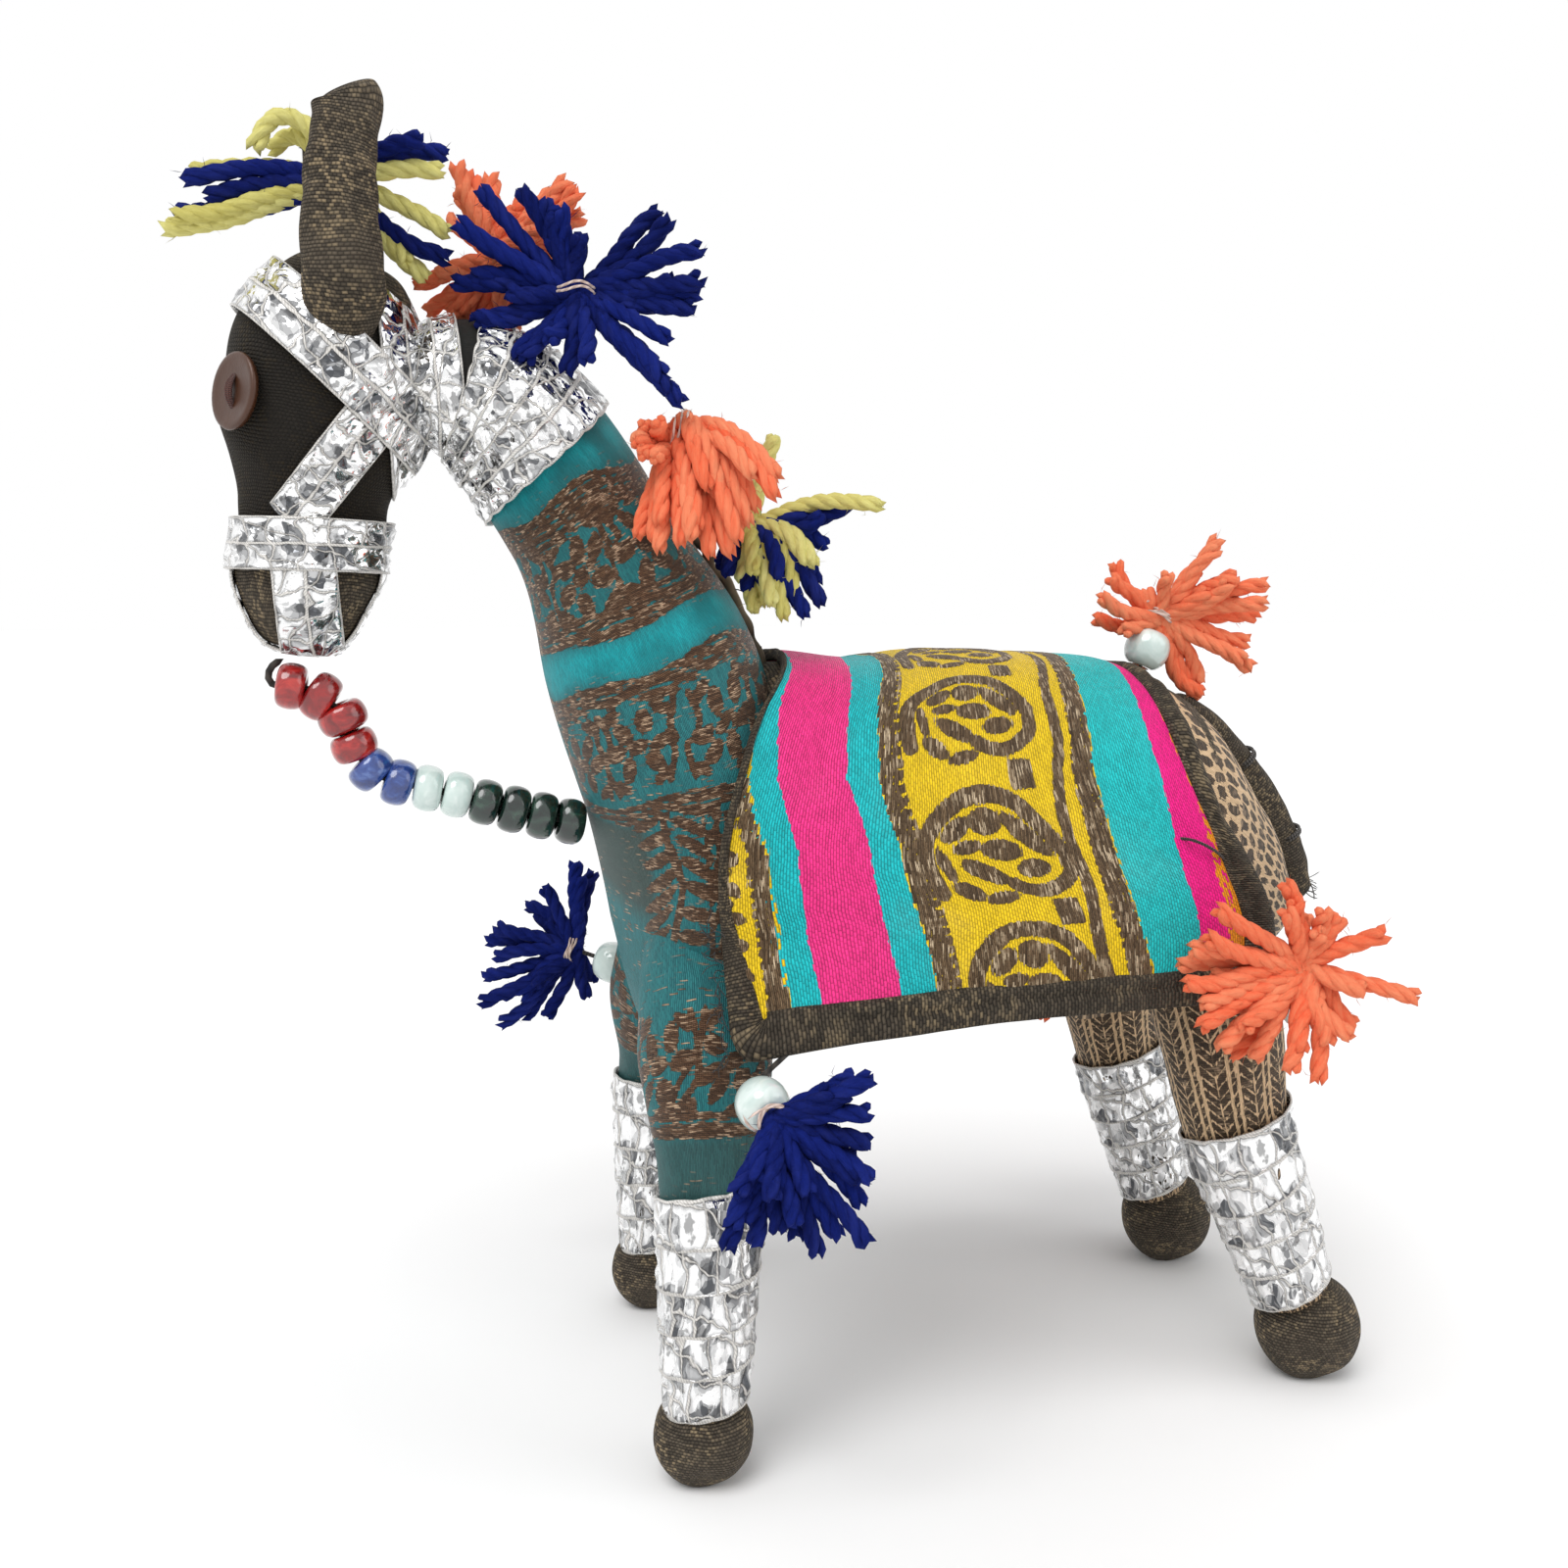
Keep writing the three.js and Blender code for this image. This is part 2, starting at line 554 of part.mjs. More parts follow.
function clothPoint(u, v) {
  const near = Math.abs(v);
  const lead = farLead * (v + 1) / 2;
  const front = clothFront - shoulderReach * frontEdge.getPoint(near).y - lead;
  const rear = clothRear + rearEdge.getPoint(near).y - 0.3 * lead;
  const x = THREE.MathUtils.lerp(front, rear, (u + 1) / 2);
  const under = THREE.MathUtils.clamp(x, chestX + 14, rumpX - 30);
  const share = shareWhere(torso, 'x', under);
  const swell = Math.sqrt(1 - (1 - 2 * share) ** 2) ** torso.fullness;
  const ridge = torso.line.getPoint(share).z + swell * torso.girth.getPoint(share).y + clothLoft;
  const wide = torsoHalfWidth;
  const hem = backHeight - clothDrop + hemRise * (1 - ((1 - u) / 2) ** 3);
  const drape = new THREE.CatmullRomCurve3([
    vector(0, -0.45 * wide, ridge - 2),
    vector(0, 0, ridge),
    vector(0, 0.45 * wide, ridge - 2),
    vector(0, 0.81 * wide, ridge - 8.6),
    vector(0, 1.05 * wide, ridge - 22),
    vector(0, wide + 0.55 * clothFlare, (ridge + hem) / 2 - 5),
    vector(0, wide + 0.82 * clothFlare, 0.23 * ridge + 0.77 * hem),
    vector(0, wide + clothFlare, hem),
  ]);
  const point = drape.getPoint((1 + 6 * near) / 7);
  const wave = hemWave * near ** 3 * Math.sin(1.5 * Math.PI * u + v);
  return vector(x, Math.sign(v) * (point.y + wave), point.z);
}

function clothNormal(u, v) {
  const step = 0.02;
  const along = clothPoint(u + step, v).sub(clothPoint(u - step, v));
  const across = clothPoint(u, v + step).sub(clothPoint(u, v - step));
  return along.cross(across).normalize();
}

const clothHalfLength = clothPoint(1, 0.5).distanceTo(clothPoint(-1, 0.5)) / 2;
const clothHalfSpan = backHeight - torsoMid + torsoHalfWidth + clothFlare + 8;
const trim = 2 * bindingHalfWidth + 3 * seam;
const clothU = 1 - trim / clothHalfLength;
const clothV = 1 - trim / clothHalfSpan;

function saddleSheet(thickness) {
  const sheet = new THREE.BoxGeometry(2 * clothU, 2 * clothV, thickness, 8, 18, 1);
  const { position } = sheet.attributes;
  for (let i = 0; i < position.count; i++) {
    const [u, v] = [position.getX(i), position.getY(i)];
    const point = clothPoint(u, v).addScaledVector(clothNormal(u, v), position.getZ(i));
    position.setXYZ(i, point.x, point.y, point.z);
  }
  return solid(sheet);
}
const bodySpaces = [torsoSpace, neckSpace, ...legSpaces];
add('saddle_cloth', cutBy(saddleSheet(clothThickness), ...bodySpaces), 'saddleBrocade');

// The binding is a flat roll of plain cloth round the edge of the sheet.
function bindingRoll(grow = 0) {
  const [lengthMid, spanMid] = [clothHalfLength - bindingHalfWidth, clothHalfSpan - bindingHalfWidth];
  const turn = bindingHalfWidth + 0.2;
  const path = new THREE.Shape();
  path.moveTo(lengthMid - turn, -spanMid);
  path.absarc(lengthMid - turn, -spanMid + turn, turn, -Math.PI / 2, 0, false);
  path.absarc(lengthMid - turn, spanMid - turn, turn, 0, Math.PI / 2, false);
  path.absarc(-lengthMid + turn, spanMid - turn, turn, Math.PI / 2, Math.PI, false);
  path.absarc(-lengthMid + turn, -spanMid + turn, turn, Math.PI, 1.5 * Math.PI, false);
  path.closePath();
  const steps = 56;
  const ring = new THREE.TorusGeometry(2, 1, 6, steps);
  const { position } = ring.attributes;
  for (let i = 0; i < position.count; i++) {
    const round = Math.atan2(position.getY(i), position.getX(i)) / (2 * Math.PI);
    const along = (Math.round((round + 1) * steps) % steps) / steps;
    const centre = path.getPointAt(along);
    const tangent = path.getTangentAt(along);
    const out = Math.hypot(position.getX(i), position.getY(i)) - 2;
    const lift = position.getZ(i) * (bindingHalfThickness + grow);
    const u = (centre.x + tangent.y * out * (bindingHalfWidth + grow)) / clothHalfLength;
    const v = (centre.y - tangent.x * out * (bindingHalfWidth + grow)) / clothHalfSpan;
    const point = clothPoint(u, v).addScaledVector(clothNormal(u, v), lift);
    position.setXYZ(i, point.x, point.y, point.z);
  }
  return solid(ring);
}
add('saddle_binding', cutBy(bindingRoll(), ...bodySpaces, tailSpace), 'plainCloth');
const clothSpaces = [saddleSheet(clothThickness + 2 * seam), bindingRoll(seam)];

// Tassels along the mane, tied to the crest of the neck

const maneSpaces = [neckSpace, headSpace, ...tapeSpaces, ...earSpaces, ...clothSpaces];
function maneTassel(name, knot, fans, finish) {
  const piece = cutBy(tassel(knot, fans), ...maneSpaces);
  add(name, piece, finish);
  maneSpaces.push(piece);
}

const crestPoint = (share, lift) => surfacePoint(neck, share, crest, lift);
const fromPoll = (dx, dy, dz) => vector(pollX + dx, dy, pollHeight + dz);
maneTassel('mane_tassel_poll', fromPoll(16.4, 0, 17.4), [
  { axis: [-0.15, 0.1, 1], spread: 0.55, length: 17, count: 4 },
  { axis: [0.9, 0.3, 0.6], spread: 0.4, length: 14, count: 2 },
  { axis: [-0.9, 0, 0.25], spread: 0.4, length: 13, count: 2 },
  { axis: [-0.2, -0.1, -1], spread: 0.3, length: 14, count: 2, bow: 0 },
], 'orangeYarn');

maneTassel('mane_tassel_crown', fromPoll(29.3, -6, 10.9), [
  { axis: [1, -0.2, 0.05], spread: 0.22, length: 22, count: 3 },
  { axis: [0.85, 0, 0.52], spread: 0.12, length: 20, count: 2 },
  { axis: [0.72, -0.2, -0.72], spread: 0.15, length: 23, count: 2, bow: 0 },
  { axis: [-0.3, -0.2, 1], spread: 0.4, length: 16, count: 3 },
  { axis: [-1, -0.5, -0.05], spread: 0.25, length: 13, count: 2 },
  { axis: [-0.3, 0.35, -1], spread: 0.25, length: 15, count: 2, bow: 0 },
], 'blueYarn');

maneTassel('mane_tassel_middle', crestPoint(0.3, 6).add(vector(0, -7, -1)), [
  { axis: [-0.1, -0.75, -1], spread: 0.42, length: 27, count: 5, bow: 3 },
  { axis: [0.55, -0.55, -0.75], spread: 0.35, length: 26, count: 4, bow: 3 },
  { axis: [-0.7, 0.4, -0.7], spread: 0.5, length: 9, count: 2, bow: 0 },
], 'orangeYarn');

maneTassel('mane_tassel_withers', crestPoint(0.42, 9).add(vector(0, -3, 0)), [
  { axis: [0.6, -0.1, -0.8], spread: 0.3, length: 22, count: 4, bow: 2 },
  { axis: [-0.8, 0.2, -0.6], spread: 0.25, length: 12, count: 2, bow: 0 },
  { axis: [1, 0, 0.1], spread: 0.16, length: 24, count: 2, bow: 1 },
  { axis: [0.3, 0.4, 0.85], spread: 0.05, length: 20, count: 1, bow: 0 },
], 'yellowYarn');

maneTassel('forelock', fromCrown(-2.2, 5).add(vector(0, -1, 0)), [
  { axis: [-1, 0, 0.02], spread: 0.3, length: 28, count: 5, bow: 2 },
  { axis: [0.85, 0, 0.42], spread: 0.3, length: 20, count: 2 },
  { axis: [1, 0, -0.25], spread: 0.3, length: 18, count: 3 },
  { axis: [0.1, 0, -1], spread: 0, length: 8, count: 1, bow: 0 },
], 'yellowYarn');

// Beads and tassels at the corners of the saddle cloth, each pair on one thread

// The thread runs straight through the bead along its axis, which points at the knot unless given.
function hungTassel(name, start, centre, tie, fans, finish, flat, bore) {
  const axis = (bore ?? tie.clone().sub(centre)).clone().normalize();
  const along = (distance) => centre.clone().addScaledVector(axis, distance);
  const route = [start, along(-cornerBeadHalfLength - 1.5), along(-cornerBeadHalfLength - 0.5),
    along(cornerBeadHalfLength), tie];
  const beadRoom = ballAt(centre, cornerBeadRadius + seam, 8);
  const wool = cutBy(tassel(tie, fans, flat), beadRoom, ...bodySpaces, ...clothSpaces, tailSpace);
  add(`${name}_bead`, bead(cornerBeadRadius, cornerBeadHalfLength, centre, axis), 'whiteGlass');
  add(`${name}_tassel`, wool.add(tube(route, threadRadius, 20, 6)), finish);
}

const cornerPoint = (u, v) => {
  const inside = clothPoint(0.9 * u, 0.9 * v);
  const corner = clothPoint(u, v);
  return corner.addScaledVector(corner.clone().sub(inside).normalize(), 0.2);
};

// Each thread starts behind the binding, runs through the bead and ends at the tassel's knot.
const corners = [
  ['front_left', -1, -1, [[-2.2, 2.6, -3.6], [-1.6, 8.6, -4.6]], 'blueYarn', [
    { axis: [0.3, 0.15, -1], spread: 0.42, length: 26, count: 5, bow: 1 },
    { axis: [-0.4, 0.1, -0.9], spread: 0.2, length: 21, count: 2, bow: 1 },
    { axis: [1, 0, 0.25], spread: 0.25, length: 20, count: 3 },
  ]],
  ['front_right', -1, 1, [[-5.4, 1.6, -1.6], [-12.4, 5.4, 0.6]], 'blueYarn', [
    { axis: [-1, 0, -0.1], spread: 0.45, length: 21, count: 4 },
    { axis: [-0.6, 0.1, -0.8], spread: 0.25, length: 22, count: 3, bow: 0 },
    { axis: [-0.25, 0.1, 1], spread: 0.35, length: 16, count: 2 },
  ]],
  ['rear_left', 1, -1, [[4.4, 2.6, -0.8], [-0.5, 9, 8], [-0.1, 0.9, 0.3]], 'orangeYarn', [
    { axis: [-1, 0.2, 0.05], spread: 0.4, length: 23, count: 3 },
    { axis: [0.1, 0.2, -1], spread: 0.45, length: 20, count: 3, bow: 0 },
    { axis: [1, 0.1, -0.2], spread: 0.4, length: 22, count: 2 },
    { axis: [0, 0, 1], spread: 0.3, length: 15, count: 2 },
  ]],
  ['rear_right', 1, 1, [[2.4, 2.6, -3.6], [1, 8.4, -6.6]], 'orangeYarn', [
    { axis: [-0.25, 0.1, -1], spread: 0.4, length: 22, count: 4, bow: 0 },
    { axis: [1, 0.2, -0.3], spread: 0.4, length: 19, count: 3 },
    { axis: [-1, 0.2, -0.2], spread: 0.4, length: 18, count: 2 },
  ]],
];
for (const [name, end, way, places, yarn, fans] of corners) {
  const corner = cornerPoint(end, way);
  const u = end * (1 - 2.2 * bindingHalfWidth / clothHalfLength);
  const v = way * (1 - bindingHalfWidth / clothHalfSpan);
  const behind = bindingHalfThickness + 0.8 * seam + threadRadius;
  const start = clothPoint(u, v).addScaledVector(clothNormal(u, v), -behind);
  const [offCentre, offTie, bore] = places.map(([x, out, z]) => vector(x, way * out, z));
  const [centre, tie] = [offCentre, offTie].map((offset) => corner.clone().add(offset));
  const turned = fans.map(({ axis: [x, out, z], ...rest }) => ({ axis: [x, way * out, z], ...rest }));
  hungTassel(name, start, centre, tie, turned, yarn, 0.6, bore);
}

const backEdge = cornerPoint(1, 0);
const backOut = (x, z) => backEdge.clone().add(vector(x, 0, z));
hungTassel('rump', backOut(0.9, 0.6), backOut(3.8, 4.6), backOut(6.6, 11.2), [
  { axis: [0.5, -0.1, 0.9], spread: 0.4, length: 19, count: 3 },
  { axis: [1, -0.1, 0.2], spread: 0.35, length: 20, count: 3 },
  { axis: [-0.9, 0, 0.3], spread: 0.4, length: 18, count: 2 },
  { axis: [-0.3, -0.9, -0.2], spread: 0.5, length: 13, count: 2, bow: 0 },
  { axis: [0.25, -0.75, -0.9], spread: 0.3, length: 16, count: 2, bow: 0 },
], 'orangeYarn', 0.9);

// The rein: a thread from the chin to the chest, strung with beads.
// Its points are chosen by hand, from the chin down and back to the chest.

const reinRoute = [
  [-122.6, -1, 135.1], [-124.4, -1.1, 134], [-125.2, -1.2, 132.2], [-124.4, -1.3, 130.8], [-121.9, -1.4, 130.6],
  [-118.9, -1.5, 129.9], [-116.2, -1.6, 128.2], [-114, -1.6, 126], [-112.6, -1.6, 122.6], [-111.2, -1.6, 119],
  [-108.9, -1.6, 116], [-105.4, -1.6, 114.2], [-100.6, -1.6, 113], [-94.6, -1.6, 111.4], [-88, -1.6, 109.4],
  [-81.4, -1.6, 107.6], [-76.6, -1.6, 106.4], [-73.5, -1.6, 105.7],
].map((point) => vector(...point));
const reinColours = [
  ...Array(4).fill('red'), ...Array(2).fill('blue'), ...Array(2).fill('white'), ...Array(4).fill('green'),
];
const reinLine = new THREE.CatmullRomCurve3(reinRoute);
const firstBead = 8.7;           // along the thread, from the chin
const lastBead = 2.5;            // and from the chest
add('rein_string', tube(reinRoute, threadRadius, 32), 'thread');
reinColours.forEach((colour, i) => {
  const run = reinLine.getLength() - firstBead - lastBead;
  const place = (firstBead + i * run / (reinColours.length - 1)) / reinLine.getLength();
  const centre = reinLine.getPointAt(place);
  const piece = bead(reinBeadRadius, reinBeadHalfLength, centre, reinLine.getTangentAt(place));
  add(`rein_bead_${String(i + 1).padStart(2, '0')}`, piece, `${colour}Glass`);
});

// The origin is the middle of the footprint, on the ground

const extent = new THREE.Box3().setFromObject(horse);
const middle = extent.getCenter(vector(0, 0, 0));
horse.position.set(-middle.x, -middle.y, -extent.min.z);

export default horse;
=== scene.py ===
import json
import math

import bmesh
import bpy
import numpy as np
from mathutils import Matrix, Vector
from mathutils.bvhtree import BVHTree

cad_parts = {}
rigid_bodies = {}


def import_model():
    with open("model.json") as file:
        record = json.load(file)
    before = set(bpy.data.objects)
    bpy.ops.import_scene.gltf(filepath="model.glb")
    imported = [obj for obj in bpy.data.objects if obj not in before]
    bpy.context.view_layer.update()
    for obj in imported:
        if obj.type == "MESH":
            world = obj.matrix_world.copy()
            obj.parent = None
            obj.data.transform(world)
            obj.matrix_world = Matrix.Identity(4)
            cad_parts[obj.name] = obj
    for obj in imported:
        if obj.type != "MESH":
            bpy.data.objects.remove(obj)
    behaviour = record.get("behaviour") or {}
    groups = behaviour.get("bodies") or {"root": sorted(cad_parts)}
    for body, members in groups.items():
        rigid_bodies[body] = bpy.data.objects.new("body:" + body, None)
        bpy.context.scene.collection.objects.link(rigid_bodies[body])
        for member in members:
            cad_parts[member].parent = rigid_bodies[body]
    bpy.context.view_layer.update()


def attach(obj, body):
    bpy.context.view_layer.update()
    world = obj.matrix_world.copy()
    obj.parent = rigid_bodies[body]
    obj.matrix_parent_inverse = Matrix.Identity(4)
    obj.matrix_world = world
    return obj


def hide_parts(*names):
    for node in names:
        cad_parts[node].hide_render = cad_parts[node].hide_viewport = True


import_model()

fullTurn = 2 * math.pi

# The sewing room works in millimetres round the horse's own middle. toFrame puts that in the frame.
toMiddle = np.array([33.3733, 0.4855, 0.0])


def toFrame(points):
    return (np.asarray(points, float) + toMiddle) / 1000


cameraSettings = {"place": (-110.0, -273.2, 146.1), "azimuth": -15.0, "elevation": 7.0, "lens": 36.0, "sensor": 36.0}
turn, tilt = (math.radians(cameraSettings[key]) for key in ("azimuth", "elevation"))
viewBack = np.array([math.sin(turn) * math.cos(tilt), -math.cos(turn) * math.cos(tilt), math.sin(tilt)])
viewRight = np.array([math.cos(turn), math.sin(turn), 0.0])
viewUp = np.cross(viewBack, viewRight)


def setCamera(settings):
    data = bpy.data.cameras.new("photographer")
    data.lens, data.sensor_width, data.clip_start, data.clip_end = settings["lens"], settings["sensor"], 0.01, 20.0
    camera = bpy.data.objects.new("photographer", data)
    camera.location = toFrame(settings["place"])
    camera.rotation_mode = "QUATERNION"
    camera.rotation_quaternion = (-Vector(viewBack)).to_track_quat("-Z", "Y")
    bpy.context.scene.collection.objects.link(camera)
    bpy.context.scene.camera = camera


setCamera(cameraSettings)
print("camera set")


def unit(rows):
    return rows / np.maximum(np.linalg.norm(rows, axis=-1, keepdims=True), 1e-9)


def cubic(p1, p2, m1, m2, w):
    return p1 + m1 * w + (3 * (p2 - p1) - 2 * m1 - m2) * w ** 2 + (2 * (p1 - p2) + m1 + m2) * w ** 3


def splineAt(points, t):
    # A smooth line through the points, read at shares t. With one set of points for each share, it is a surface.
    points, t = np.asarray(points, float), np.asarray(t, float).ravel()
    if points.ndim == 2:
        points = np.broadcast_to(points, (len(t),) + points.shape)
    last = points.shape[1] - 1
    place = np.clip(t, 0, 1) * last
    index = np.minimum(place.astype(int), last - 1)
    w, rows = (place - index)[:, None], np.arange(len(t))
    p1, p2 = points[rows, index], points[rows, index + 1]
    p0 = np.where((index > 0)[:, None], points[rows, np.maximum(index - 1, 0)], 2 * p1 - p2)
    p3 = np.where((index < last - 1)[:, None], points[rows, np.minimum(index + 2, last)], 2 * p2 - p1)
    gap = lambda a, b: ((a - b) ** 2).sum(1)[:, None] ** 0.25
    unless = lambda d, other: np.where(d < 1e-4, other, d)
    d1 = unless(gap(p1, p2), 1)
    d0, d2 = unless(gap(p0, p1), d1), unless(gap(p2, p3), d1)
    m1 = ((p1 - p0) / d0 - (p2 - p0) / (d0 + d1) + (p2 - p1) / d1) * d1
    m2 = ((p2 - p1) / d1 - (p3 - p1) / (d1 + d2) + (p3 - p2) / d2) * d1
    return cubic(p1, p2, m1, m2, w)


def smoothAt(values, t):
    values = np.asarray(values, float)
    place = np.clip(t, 0, 1) * (len(values) - 1)
    i = np.minimum(place.astype(int), len(values) - 2)
    p0, p1 = values[np.maximum(i - 1, 0)], values[i]
    p2, p3 = values[i + 1], values[np.minimum(i + 2, len(values) - 1)]
    return cubic(p1, p2, (p2 - p0) / 2, (p3 - p1) / 2, place - i)


def routeThrough(stops, rows):
    return splineAt(np.array(stops, float), np.linspace(0, 1, rows + 1))


def lengthOf(route):
    return np.linalg.norm(np.diff(route, axis=0), axis=1)


class StuffedForm:
    # A closed tube through stations of x, y, z, half width and half depth. Shares of its length run from 0 to 1.
    def __init__(self, stations, fullness=0.42, slant=0.0):
        s = np.array(stations, float)
        self.fullness, self.slant = fullness, slant
        self.shares = np.linspace(0, 1, 801)
        self.line = splineAt(s[:, :3], self.shares)
        self.girth = splineAt(np.c_[s[:, 3:], np.zeros(len(s))], self.shares)[:, :2]
        self.along = unit(np.gradient(self.line, axis=0))
        self.run = np.r_[0, np.cumsum(lengthOf(self.line))]

    def at(self, table, share):
        return np.stack([np.interp(share, self.shares, column) for column in table.T], 1)

    def point(self, share, angle, off=0.0):
        share, angle, off = (a.ravel() for a in np.broadcast_arrays(
            np.asarray(share, float), np.asarray(angle, float), np.asarray(off, float)))
        height = 1 - 2 * share
        swell = np.sqrt(np.maximum(0, 1 - height ** 2)) ** self.fullness
        along = unit(self.at(self.along, share))
        side = unit(np.array([0, 1, 0]) - along * along[:, 1:2])
        depth = np.cross(along, side)
        half = self.at(self.girth, share) + off[:, None]
        across = (side * (np.cos(angle) * half[:, 0] * swell)[:, None]
                  + depth * (np.sin(angle) * half[:, 1] * swell)[:, None])
        ends = along * (np.sign(height) * off * np.abs(height) ** 8)[:, None]
        return (self.at(self.line, share) + across - ends
                + np.outer(self.slant * share ** 6 * across[:, 0], (0, 0, 1)))


def ripple(u, v, size, seed, waves=14):
    # Smooth random bumps about size wide and about 1 high.
    pick = np.random.default_rng(seed)
    total = np.zeros(np.broadcast(u, v).shape)
    for _ in range(waves):
        way, length, phase = pick.uniform(0, math.pi), size * pick.uniform(0.6, 1.7), pick.uniform(0, fullTurn)
        total = total + np.sin(fullTurn * (u * math.cos(way) + v * math.sin(way)) / length + phase)
    return total / math.sqrt(waves / 2)


torso = StuffedForm([
    [-54, 0, 98, 26, 27.88], [-30, 0, 99, 32.5, 32.98], [-2, 0, 99, 32.5, 34],
    [26, 0, 97.2, 32.5, 33.66], [46, 0, 90.9, 27.3, 24.48], [62, 0, 81, 19.5, 14.28]])
neckWide, chestWide, chestDeep = 13.4, 31, 18.2
neck = StuffedForm([
    [-103, 0, 184, 0.92 * neckWide, 0.95 * neckWide], [-86.34, 0, 176.35, neckWide, 1.04 * neckWide],
    [-72.62, 0, 158.5, 1.06 * neckWide, 1.04 * neckWide], [-62, 0, 135.5, 1.5 * neckWide, chestDeep],
    [-55.4, 0, 111, 0.94 * chestWide, chestDeep], [-54.5, 0, 87.5, chestWide, 0.85 * chestDeep],
    [-55.6, 0, 66, 0.84 * chestWide, 0.64 * chestDeep]], 0.36)
crownX, crownZ, headHeight = -109.0, 199.5, 62.9
browWide, browDeep, noseWide, noseDeep = 13.6, 16.6, 10.8, 12.2
headAt = lambda share: (crownX - 10.8 * share ** 0.62, 0, crownZ - headHeight * share)
head = StuffedForm([[*headAt(share), wide, deep] for share, wide, deep in [
    (0, 0.8 * browWide, 0.86 * browDeep), (0.217, browWide, browDeep), (0.425, 0.95 * browWide, browDeep),
    (0.626, 0.9 * noseWide, 0.96 * noseDeep), (0.81, noseWide, noseDeep), (1, 0.9 * noseWide, 0.9 * noseDeep)]])
earWide, earDeep, earHeight, earOut = 3.8, 6.6, 43, 13.2


def earForm(way):
    lean, y = (1 if way < 0 else -3), way * earOut
    return StuffedForm([
        [crownX + dx + leaning * lean, out * y, crownZ + rise, wide * earWide, deep * earDeep]
        for dx, leaning, out, rise, wide, deep in [
            (-1.6, 0, 0.7, -17, 0.75, 0.55), (-2, 0, 0.98, -6, 1, 1.02), (-2, 0, 1, 0.14 * earHeight, 0.95, 0.88),
            (-1.8, 0.3, 0.93, 0.33 * earHeight, 0.9, 0.8), (-1.2, 0.8, 0.86, 0.5 * earHeight, 0.8, 0.82),
            (-1.8, 1, 0.82, 0.55 * earHeight, 0.6, 0.84)]], 0.22, 0.25 if way < 0 else -0.2)


ends = ("front", "rear")
sides = [("left", -1), ("right", 1)]
# The far legs stand a little further back than the near ones.
legSettings = {
    "front": {"x": -59.4, "farShift": 3.4, "out": 33, "r": 7.2, "hoof": 8.3, "hoofX": -59.4, "hoofShift": 3.4,
              "tapeFoot": 10.4, "tapeTop": {-1: 53, 1: 54}},
    "rear": {"x": 41.8, "farShift": 3.6, "out": 27, "r": 8.0, "hoof": 9.7, "hoofX": 58, "hoofShift": 0,
             "tapeFoot": 15, "tapeTop": {-1: 55, 1: 52}}}


def legForm(end, way):
    s = legSettings[end]
    x, y, r = s["x"] + (s["farShift"] if way > 0 else 0), way * s["out"], s["r"]
    return StuffedForm({
        "front": [[x + 3.4, 0.42 * y, 92, 1.5 * r, 1.6 * r], [x + 2.2, 0.76 * y, 71, 1.55 * r, 1.6 * r],
                  [x + 1.4, 0.96 * y, 52, 1.1 * r, 1.12 * r], [x + 0.7, y, 27.93, r, r],
                  [x, y, 3.984, 0.95 * r, 0.95 * r]],
        "rear": [[x - 5.8, 0.66 * y, 88, 1.56 * r, 1.75 * r], [x - 3.8, 0.93 * y, 69, 1.35 * r, 1.5 * r],
                 [x, y, 48, 1.12 * r, 1.14 * r], [(x + s["hoofX"]) / 2, y, 27.93, r, r],
                 [s["hoofX"], y, 6.984, 0.92 * r, 0.92 * r]]}[end], 0.3)


tailStart, tailWay, tailBow = np.array([40.5, 0, 125.0]), np.array([0.6, 0, -0.8]), np.array([1, 0, 0.75])
tailLength, tailWide = 49, 4.7
tail = StuffedForm([[*(tailStart + tailWay * share * tailLength + tailBow * 3 * math.sin(math.pi * share)),
                     (1.1 - 0.1 * share) * tailWide, (0.9 + 0.1 * share) * tailWide]
                    for share in (0, 0.33, 0.7, 1)], 0.35)


